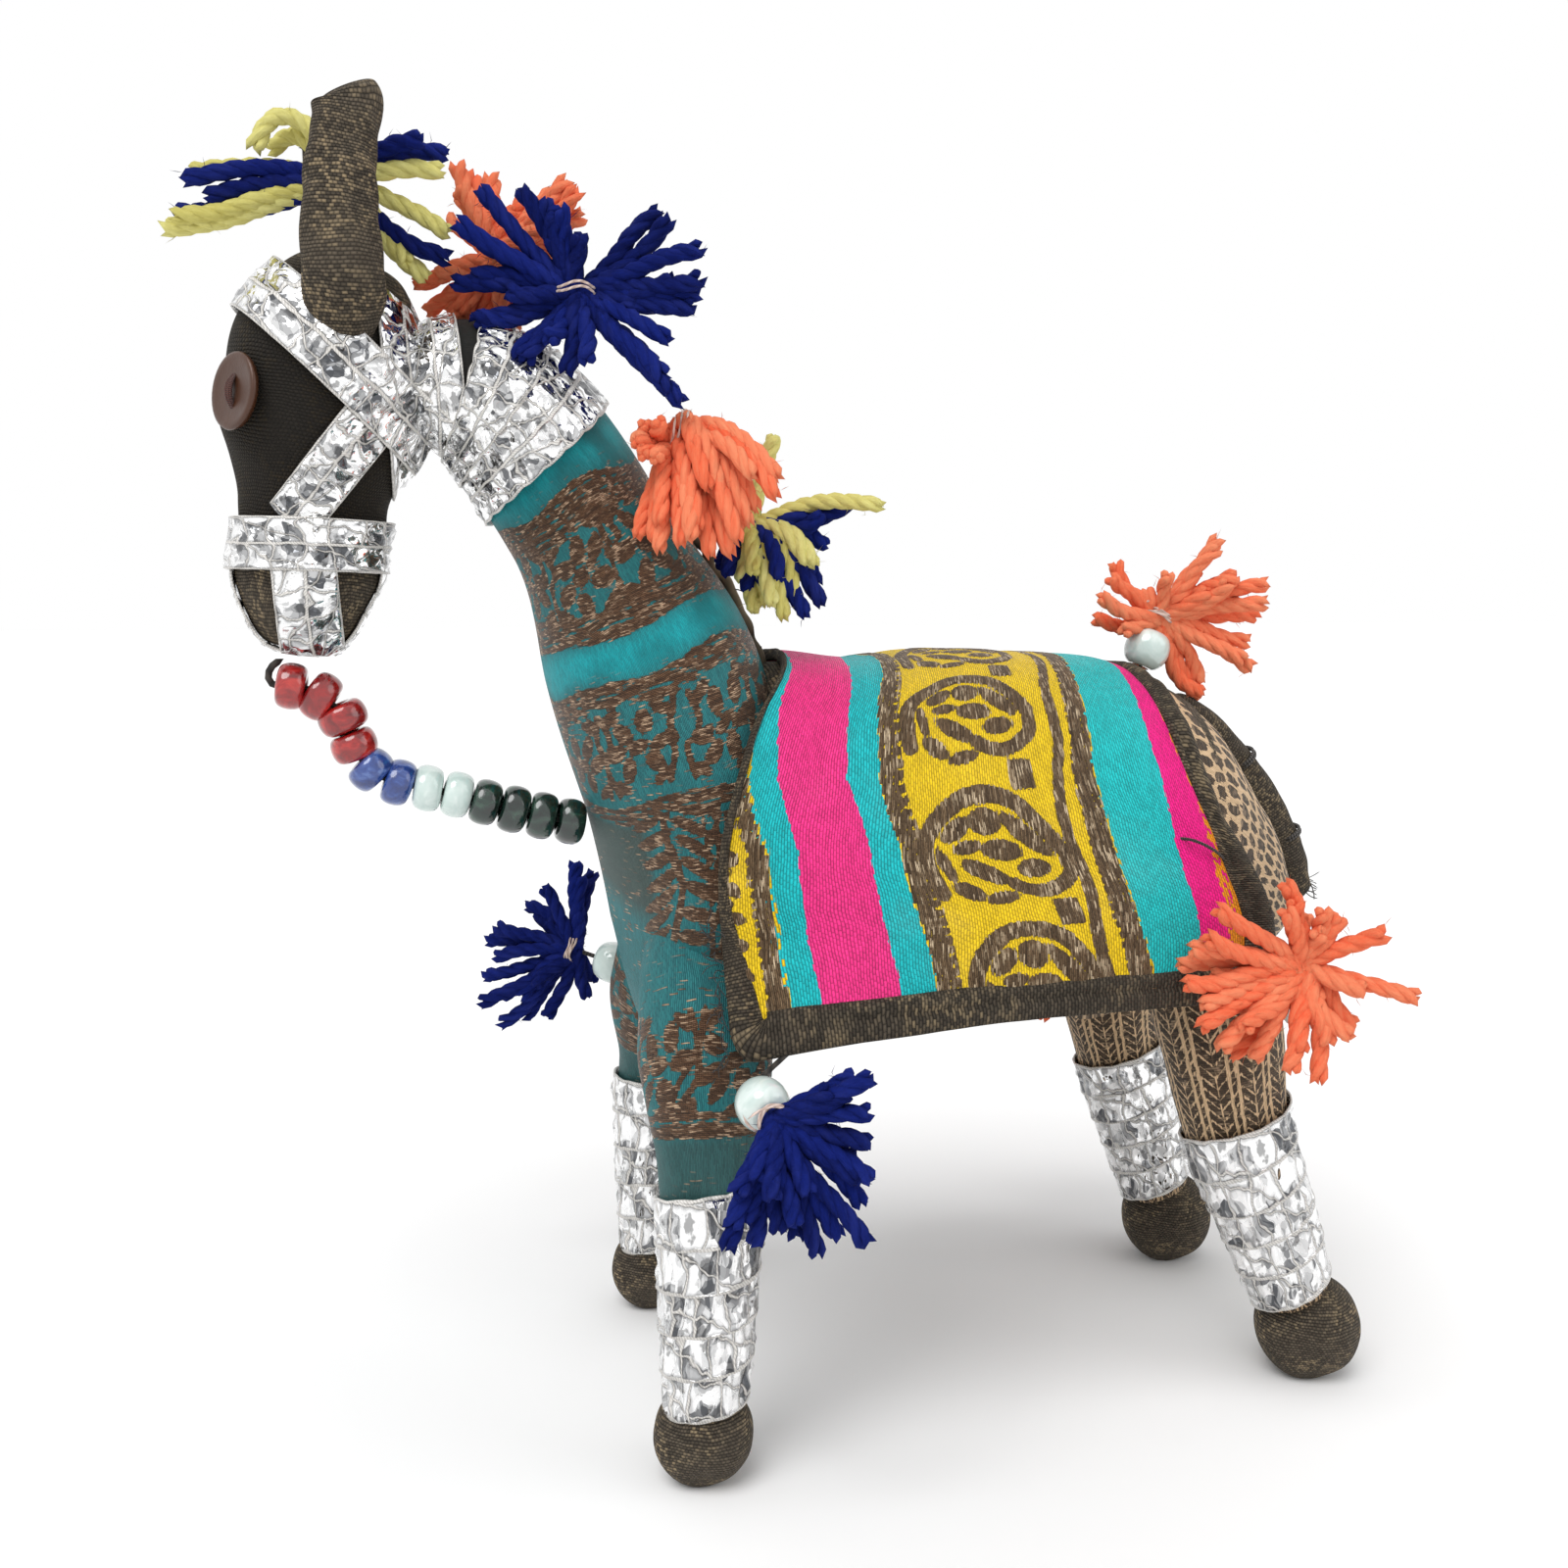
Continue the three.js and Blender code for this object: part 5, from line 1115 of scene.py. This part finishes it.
yarnSettings = {"radius": 1.5, "ply": 0.92, "turn": 8.0, "rows": 24, "around": 6, "fuzz": 9}
wallTrees = [neckTree, headTree, treeOf(saddle, binding), treeOf(barrel, rump, tailCloth)]
wallTrees += [treeOf(*(bpy.data.objects[name.format(side)] for name in (
    "frontLegCloth_{}", "rearLegCloth_{}", "legTape_front_{}", "legTape_rear_{}"))) for side, _ in sides]


def pushedOut(points, clearance, walls):
    made = []
    for point in points:
        p = Vector(point)
        for tree in walls:
            hit, normal, _, distance = tree.find_nearest(p, 30.0)
            inReach = hit is not None and distance < (24 if tree in wallTrees[:2] else 9)
            if inReach and (p - hit).dot(normal) < clearance:
                p = hit + normal * clearance
        made.append(tuple(p))
    return np.array(made)


def tuft(knot, tips, seed, reach, extra):
    # Strands from the knot to tips given as the photo shows them: right, up, and a bow upwards.
    pick = np.random.default_rng(seed)
    tips = [tuple(tip) + (0.0,) * (3 - len(tip)) for tip in tips]
    for k in range(extra):
        right, up, bow = tips[int(pick.integers(len(tips)))]
        tips.append((right * pick.uniform(0.62, 0.9) + pick.normal(0, 2),
                     up * pick.uniform(0.62, 0.9) + pick.normal(0, 2), bow))
    steps = np.array([0, 0.12, 0.4, 0.7, 1.0])
    strands = []
    for right, up, bow in tips:
        way = right * viewRight + up * viewUp + pick.uniform(*reach) * viewBack
        line = np.asarray(knot, float) + np.outer(steps, way)
        line += np.outer(np.sin(math.pi * steps) * (bow + pick.normal(0, 0.8)), [0, 0, 1])
        line[2:] += pick.normal(0, 0.5, (3, 3))
        strands.append(line)
    return strands


def fuzzOn(routes, count, seed):
    # Loose fibres that stand off each strand.
    pick = np.random.default_rng(seed)
    fibres = []
    for route in routes:
        for _ in range(count):
            k = int(pick.integers(2, len(route) - 1))
            way = unit(pick.normal(0, 1, 3))
            far = unit(way + 0.8 * pick.normal(0, 1, 3))
            begin = route[k] + way * 0.6
            fibres.append(np.array([begin, begin + way * 0.9, begin + way * 1.3 + far * pick.uniform(0.4, 1.6)]))
    return fibres


def woolTassel(name, strands, slot, body, nodes, seed, rounded=False):
    # Each strand is plied of three yarns and pushed out of the walls behind it. Its cut end splays.
    pick = np.random.default_rng(seed)
    s, rows = yarnSettings, yarnSettings["rows"]
    t = np.linspace(0, 1, rows + 1)
    walls = wallTrees if body == "horse" else wallTrees[2:]
    routes, radii, tones = [], [], []
    for strand in strands:
        middle = routeThrough(strand, 12)
        for _ in range(3):
            middle[1:] = pushedOut(middle[1:], s["radius"] + 0.15, walls)
            middle[1:-1] = 0.5 * middle[1:-1] + 0.25 * (middle[:-2] + middle[2:])
        middle = splineAt(middle, t)
        length = lengthOf(middle).sum()
        side, up = framesOf(middle)
        phase, tone, loose = pick.uniform(0, fullTurn), pick.uniform(0, 1), pick.uniform(0.6, 1.5)
        splay = 1 + (0.15 if rounded else loose) * np.clip((t - 0.84) / 0.16, 0, 1) ** 2
        away = 0.41 * s["radius"] * splay
        for ply in range(3):
            angle = phase + fullTurn * (ply / 3 + t * length / s["turn"])
            routes.append(middle + side * (np.cos(angle) * away)[:, None] + up * (np.sin(angle) * away)[:, None])
            radii.append(s["ply"] * pick.uniform(0.92, 1.06) * (1 - 0.3 * np.clip((t - 0.9) / 0.1, 0, 1)))
            tones.append(tone)
    wool = tubes(name, routes, radii, s["around"], rows, tone=tones, blunt=0.03)
    fibres = tubes(name.replace("Wool", "Fuzz"), fuzzOn(routes[::3], s["fuzz"], seed), 0.06, 3, 2, blunt=0.01)
    sewnOn(fibres, body, slot)
    sewnOn(wool, body, slot, *nodes)


def tieThread(name, centre, axis, radius, turns, body):
    # A pale thread wound round the waist of a tassel, with two loose ends.
    axis = unit(np.array(axis, float))
    first = unit(np.cross(axis, [0.2, 0.3, 0.9]))
    second = np.cross(axis, first)
    t = np.linspace(0, 1, 81)
    angle = fullTurn * turns * t
    grow = radius + 2.5 * np.clip((np.abs(t - 0.5) - 0.42) / 0.08, 0, 1) ** 2
    route = (np.asarray(centre) + first * (np.cos(angle) * grow)[:, None] + second * (np.sin(angle) * grow)[:, None]
             + axis * ((t - 0.5) * 1.6 + 0.25 * np.sin(3.1 * angle))[:, None])
    sewnOn(tubes(name, [route], 0.22, 6, 80, blunt=0.01), body, "thread", material=paleThread)


fromPoll = lambda dx, dy, dz: np.array([-103 + dx, dy, 184 + dz])
crestPoint = lambda share, lift: neck.point([share], [math.pi / 2], lift)[0]
pollKnot, crownKnot = fromPoll(16.4, 0, 17.4), fromPoll(29.3, -6, 10.9)
middleKnot, withersKnot = crestPoint(0.3, 6) + np.array([0, -7, -1]), crestPoint(0.42, 9) + np.array([0, -3, 0])
forelockKnot = fromCrown(-2.2, 12.5) + np.array([0, -1, 0])
# Each tuft: its name, knot, yarn, nodes, reach towards the camera, extra strands, whether its ends are neat, and tips.
mane = [
    ("pollWool", pollKnot, "orange", ["mane_tassel_poll"], (-9, 0), 10, False, [
        (-7, 16), (-5, 16), (-2, 17), (9, 8), (11, 8), (10, 2), (-9, 8), (-10, -3), (3, -13), (-6, -6), (4, 12),
        (7, -6), (-3, -10), (-9, -7), (-11, -2), (-7, -10), (0, -9), (5, -9), (-4, 8), (6, 5), (2, 9), (13, 11),
        (12, 13), (15, 9), (8, 14), (-13, -8), (-12, -11), (-9, -13), (-14, -4)]),
    ("crownWool", crownKnot, "blue", ["mane_tassel_crown"], (2, 9), 7, False, [
        (14, 12), (16, 10), (21, 5), (22, 0), (21, -2), (20, -4), (16, -9), (18, -18), (16, -18), (15, -16), (-1, -14),
        (2, -13), (-10, -15), (-8, -13), (-16, -6), (-18, 2), (-17, 8), (-16, 15), (-9, 15), (-5, 15), (-4, 12),
        (-2, 12), (-19, 9), (-20, 1), (-18, -7)]),
    ("middleWool", middleKnot, "orange", ["mane_tassel_middle"], (9, 14), 8, True, [
        (-5, -19, 1), (-2, -20, 2), (0, -21, 2), (3, -21, 3), (5, -21, 4), (8, -22, 5), (10, -22, 5), (12, -21, 6),
        (13, -17, 7), (16, -14, 7), (19, -13, 7), (18, -9, 6), (15, -10, 5), (-4, 1, 0), (-5, -3, 0), (-4, -5, 0),
        (14, -18, 7), (6, -18, 5)]),
    ("withersWoolYellow", withersKnot, "yellow", ["mane_tassel_withers"], (5, 10), 2, True, [
        (23, 3, 2), (12, -8, 2), (4, -16, 2), (9, -14, 3), (3, -14, 2), (-1, -10, 1), (5, 16), (6, -17, 3),
        (1, -16, 2)]),
    ("withersWoolBlue", withersKnot, "blue", [], (3, 9), 4, True, [
        (18, 4, -2), (14, -4, 2), (13, -15, 3), (10, -17, 3), (3, -11, 2), (-4, -9, 1), (7, -14, 3), (12, -11, 4),
        (0, -12, 2), (-6, -7, 1)]),
    ("forelockYellow", forelockKnot, "yellow", ["forelock"], (-4, 3), 0, False, [
        (-14, 4, 6), (-12, 6, 4), (-25, 2, 2), (-29, -8, 0), (-27, -7, -1), (16, 1, 1), (18, -8, 2), (13, -15, -1),
        (11, -13, 0)]),
    ("forelockBlue", forelockKnot, "blue", [], (-3, 3), 0, False, [
        (-24, -1, 2), (-22, -3, 1), (-28, -5, -1), (-26, -6, 0), (17, 4, 3), (16, -13, -1), (14, 5, 2)])]
for seed, (name, knot, yarn, nodes, reach, extra, neat, tips) in enumerate(mane, 71):
    woolTassel(name, tuft(knot, tips, seed, reach, extra), f"{yarn}_yarn", "horse", nodes, seed, neat)
tieThread("middleTie", middleKnot + 2 * viewRight + 3 * viewBack, viewRight - 0.3 * viewUp, 4.2, 2, "horse")
tieThread("crownTie", crownKnot + 2.5 * viewBack, viewUp, 3.0, 2, "horse")
print("mane tied")


def frayed(name, spots, away, length, count, radius, seed):
    # Short loose threads that leave a seam and curl.
    pick = np.random.default_rng(seed)
    routes = []
    for _ in range(count):
        k = int(pick.integers(len(spots)))
        way = unit(away[k] + 0.7 * pick.normal(0, 1, 3))
        curl = unit(np.cross(way, pick.normal(0, 1, 3)))
        reach = length * pick.uniform(0.4, 1.1)
        start = spots[k] - way * 0.6
        routes.append(routeThrough([start + way * ahead * reach + curl * aside * reach for ahead, aside in [
            (0, 0), (0.4, 0), (0.75, 0.18), (1, 0.5)]], 8))
    sewnOn(tubes(name, routes, radius, 4, 8, blunt=0.01), "horse", "thread")


seamShares, up = np.linspace(0.38, 0.66, 90), math.pi / 2
crest = neck.point(seamShares, up, 0.5 + 0.5 * ripple(seamShares * 130, 0 * seamShares, 5, 131))
crestUp = unit(neck.point(seamShares, up, 6) - neck.point(seamShares, up, 0))
sideways = np.array([0, 1.0, 0]) * (0.5 * np.sin(np.linspace(0, 26, 90)))[:, None]
crestSeam = tubes("crestSeam", [crest + sideways, crest - sideways + [0, 0.6, -0.2]], 1.0, 10, 89)
sewnOn(crestSeam, "horse", "plain_cloth")
frayed("crestFray", crest, crestUp, 2.4, 44, 0.12, 132)
frayed("withersFray", crest[55:], crestUp[55:], 3.2, 30, 0.12, 133)
yellowLoop = neck.point([0.6, 0.62, 0.645, 0.66], [1.75, 1.95, 1.9, 1.7], [1.0, 2.2, 2.2, 0.8])
yellowThread = tubes("looseYellowThread", [routeThrough(yellowLoop, 20)], 0.3, 8, 20)
sewnOn(yellowThread, "horse", "thread", material=looks["yellow_yarn"])

# stitches that hold the tail, and its frayed end
overTail = np.linspace(-0.2, math.pi + 0.2, 21)
tailStitches = [tail.point(share + shift + 0.01 * np.sin(overTail), overTail, 0.35 + 0.2 * np.sin(overTail))
                for share in (0.36, 0.7) for shift in (0, 0.012)]
sewnOn(tubes("tailStitches", tailStitches, 0.3, 6, 20), "horse", "thread")
tailEnd = tail.point(np.full(24, 0.97), np.linspace(0, fullTurn, 24))
frayed("tailFray", tailEnd, np.tile(tailWay, (24, 1)), 4.0, 46, 0.11, 134)


def beadMesh(name, radius, half, centre, axis, seed, squash=0.0, bulge=0.75, bore=1.15):
    # A pressed glass bead with its bore along axis. Squash makes it a little oval and crooked.
    curve = np.linspace(-1, 1, 15) * math.pi / 2 * 0.93
    outline = [(bore + (radius - bore) * math.cos(a) ** bulge, half * math.sin(a)) for a in curve]
    outline = [(bore, -0.8 * half), *outline, (bore, 0.8 * half)]
    pick = np.random.default_rng(seed)
    tilt, phase = pick.uniform(-0.05, 0.05, 2), pick.uniform(0, 6)

    def crooked(co):
        grow = 1 + 0.03 * math.sin(2 * math.atan2(co.y, co.x) + phase) * squash
        return Vector((co.x * grow, co.y * grow, co.z + squash * (tilt[0] * co.x + tilt[1] * co.y)))

    return turned(name, outline, 48, centre, axis, True, crooked)


fromCad = lambda x, y, z: np.array([x, y, z]) * 1000 - toMiddle
hangings = {
    "front_left": dict(
        start=(-0.01179, -0.03893, 0.07461), bead=(-0.01933, -0.04412, 0.0677), axis=(0.0982, -0.9816, -0.1636),
        tie=(-0.01873, -0.05012, 0.0667), out=1.4, yarn="blue", reach=(-1, 7), extra=12,
        tips=[(15, 8), (13, 7), (14, 2), (15, -4), (15, -8), (14, -13), (14, -17), (10, -19), (7, -20), (4, -19),
              (1, -17), (-3, -20), (-7, -19), (-5, -15)]),
    "front_right": dict(
        start=(-0.01762, 0.03912, 0.07463), bead=(-0.02854, 0.0441, 0.06971), axis=(-0.8471, 0.4599, 0.2662),
        tie=(-0.03554, 0.0479, 0.07191), out=0, yarn="blue", reach=(-8, 1), extra=8,
        tips=[(-1, 18), (1, 16), (-7, 13), (-11, 9), (-18, 5), (-20, 1), (-21, -6), (-20, -12), (-17, -17), (-12, -16),
              (-6, -15), (2, -11)]),
    "rear_left": dict(
        start=(0.06651, -0.03818, 0.07902), bead=(0.07707, -0.04314, 0.07603), axis=(-0.1048, -0.9435, 0.3145),
        tie=(0.07217, -0.04954, 0.08483), out=0, yarn="orange", reach=(-1, 8), extra=14,
        tips=[(-4, 14), (-3, 12), (2, 10), (5, 8), (11, 6), (17, -5), (8, -4), (5, -12), (2, -19), (-4, -17), (-9, -16),
              (-12, -15), (-16, -13), (-19, -9), (-19, -6), (-22, -3), (-21, 0), (-20, 3), (-16, 9), (-18, 5)]),
    "rear_right": dict(
        start=(0.06479, 0.03836, 0.07913), bead=(0.07327, 0.04412, 0.07323), axis=(-0.2096, 0.8685, -0.4492),
        tie=(0.07187, 0.04992, 0.07023), out=0, yarn="orange", reach=(-8, 1), extra=6,
        tips=[(-15, -20), (-11, -21), (-6, -21), (0, -22), (4, -18), (12, -14), (17, -7), (15, 3), (-14, -9),
              (-16, -2)]),
    "rump": dict(
        start=(0.06535, 0.00049, 0.13035), bead=(0.06825, 0.00049, 0.13435), axis=(0.3905, 0, 0.9206),
        tie=(0.07105, 0.00049, 0.14095), out=0.9, yarn="orange", reach=(-5, 7), extra=8,
        tips=[(11, 15), (10, 13), (15, 8), (14, 7), (20, 6), (19, 3), (20, 1), (17, -5), (18, -10), (16, -8), (8, -17),
              (6, -18), (-4, -11), (-9, -3), (-13, 0), (-13, 3), (-10, 7), (-9, 10), (0, 8)]),
}
cornerBead = {"radius": 4.3, "half": 3.7}
for number, (name, h) in enumerate(hangings.items()):
    start, middle, tie = (fromCad(*h[key]) for key in ("start", "bead", "tie"))
    axis = np.array(h["axis"])
    middle = middle + h["out"] * axis
    bead = beadMesh(f"cornerBead_{name}", cornerBead["radius"], cornerBead["half"], middle, axis, 80 + number)
    sewnOn(bead, f"{name}_round", "white_glass", f"{name}_bead")
    strands = tuft(tie, h["tips"], 90 + number, h["reach"], h["extra"])
    woolTassel(f"cornerWool_{name}", strands, f"{h['yarn']}_yarn", f"{name}_drop", [f"{name}_tassel"], 90 + number)
    stops = [start, middle - axis * 5.2, middle - axis * 4.2, middle + axis * cornerBead["half"], tie]
    sewnOn(tubes(f"cornerThread_{name}", [routeThrough(stops, 24)], 0.45, 8, 24), f"{name}_drop", "thread")
    tieThread(f"cornerTie_{name}", tie + 0.8 * axis, axis, 2.6, 3, f"{name}_drop")
looseStitch = [clothPoint(a, b) + clothNormal(a, b) * up for a, b, up in
               [(0.72, -0.6, 0.2), (0.76, -0.605, 1.6), (0.83, -0.62, 1.9), (0.9, -0.63, 0.4)]]
sewnOn(tubes("looseStitch", [routeThrough(looseStitch, 16)], 0.26, 6, 16), "horse", "thread")
hemSpots = np.array([clothPoint(-1.02, b) for b in np.linspace(-0.99, -0.72, 24)])
frayed("hemFray", hemSpots, np.tile([-0.8, -0.6, -0.3], (24, 1)), 4.5, 46, 0.09, 135)
print("tassels hung")

reinStops = [
    (-122.6, -1, 135.1), (-124.4, -1.1, 134), (-125.2, -1.2, 132.2), (-124.4, -1.3, 130.8), (-121.9, -1.4, 130.6),
    (-118.9, -1.5, 129.9), (-116.2, -1.6, 128.2), (-114, -1.6, 126), (-112.6, -1.6, 122.6), (-111.2, -1.6, 119),
    (-108.9, -1.6, 116), (-105.4, -1.6, 114.2), (-100.6, -1.6, 113), (-94.6, -1.6, 111.4), (-88, -1.6, 109.4),
    (-81.4, -1.6, 107.6), (-76.6, -1.6, 106.4), (-73.5, -1.6, 105.7)]
reinLine = routeThrough(reinStops, 1200)
reinRun = np.r_[0, np.cumsum(lengthOf(reinLine))]
reinAt = lambda run: np.array([np.interp(run, reinRun, reinLine[:, k]) for k in range(3)])
reinSteps = np.array([reinAt(run) for run in np.linspace(0, reinRun[-1], 61)])
reinString = tubes("reinString", [reinSteps], 0.6, 10, 60, blunt=0.01)
sewnOn(reinString, "rein", "thread", "rein_string")
reinColours = ["red"] * 4 + ["blue"] * 2 + ["white"] * 2 + ["green"] * 4
# how far the first bead is from the chin and the last from the chest
firstBead, lastBead = 8.7, 2.5
for i, colour in enumerate(reinColours):
    run = firstBead + i * (reinRun[-1] - firstBead - lastBead) / (len(reinColours) - 1)
    bead = beadMesh(f"reinBead_{i + 1:02d}", 4.05, 2.4, reinAt(run), reinAt(run + 0.2) - reinAt(run - 0.2), 100 + i,
                    squash=1.0, bulge=0.42)
    sewnOn(bead, "rein", f"{colour}_glass", f"rein_bead_{i + 1:02d}")
toFrame(reinStops[0])
toFrame(reinSteps)
print("rein strung")


def makeStage():
    bm = bmesh.new()
    bmesh.ops.create_grid(bm, x_segments=1, y_segments=1, size=6.0)
    floor = finished("floor", bm)
    material = bpy.data.materials.new("paleFloor")
    material.use_nodes = True
    shader = material.node_tree.nodes["Principled BSDF"]
    for label, value in (("Base Color", (0.97, 0.97, 0.97, 1)), ("Roughness", 1.0), ("Specular IOR Level", 0.0)):
        shader.inputs[label].default_value = value
    floor.data.materials.append(material)


makeStage()
lightSettings = {"sky": 0.68, "key": (1.6, (-0.45, -0.5, 1.0)), "fill": (0.35, (0.9, -0.5, 0.5)), "soft": 38}


def sunLight(name, strength, come):
    data = bpy.data.lights.new(name, "SUN")
    data.energy, data.angle = strength, math.radians(lightSettings["soft"])
    lamp = bpy.data.objects.new(name, data)
    lamp.rotation_mode = "QUATERNION"
    lamp.rotation_quaternion = Vector(come).to_track_quat("Z", "Y")
    bpy.context.scene.collection.objects.link(lamp)


def makeSky(strength):
    # The camera and reflections see plain white. Everything else is lit by a dimmer sky.
    world = bpy.data.worlds.new("studio")
    bpy.context.scene.world = world
    world.use_nodes = True
    m, background = Draft(world.node_tree), world.node_tree.nodes["Background"]
    background.inputs["Color"].default_value = (1, 1, 1, 1)
    direct, glossy, through = m.node("LightPath", out=("Is Camera Ray", "Is Glossy Ray", "Is Transmission Ray"))
    seen = direct.math("MAXIMUM", glossy.math("MAXIMUM", through))
    lit = m.node("MapRange", seen, 0.0, 1.0, strength, 1.0)
    world.node_tree.links.new(lit.socket, background.inputs["Strength"])


sunLight("keyLight", *lightSettings["key"])
sunLight("fillLight", *lightSettings["fill"])
makeSky(lightSettings["sky"])
bpy.context.scene.view_settings.view_transform = "Standard"
print("stage lit")
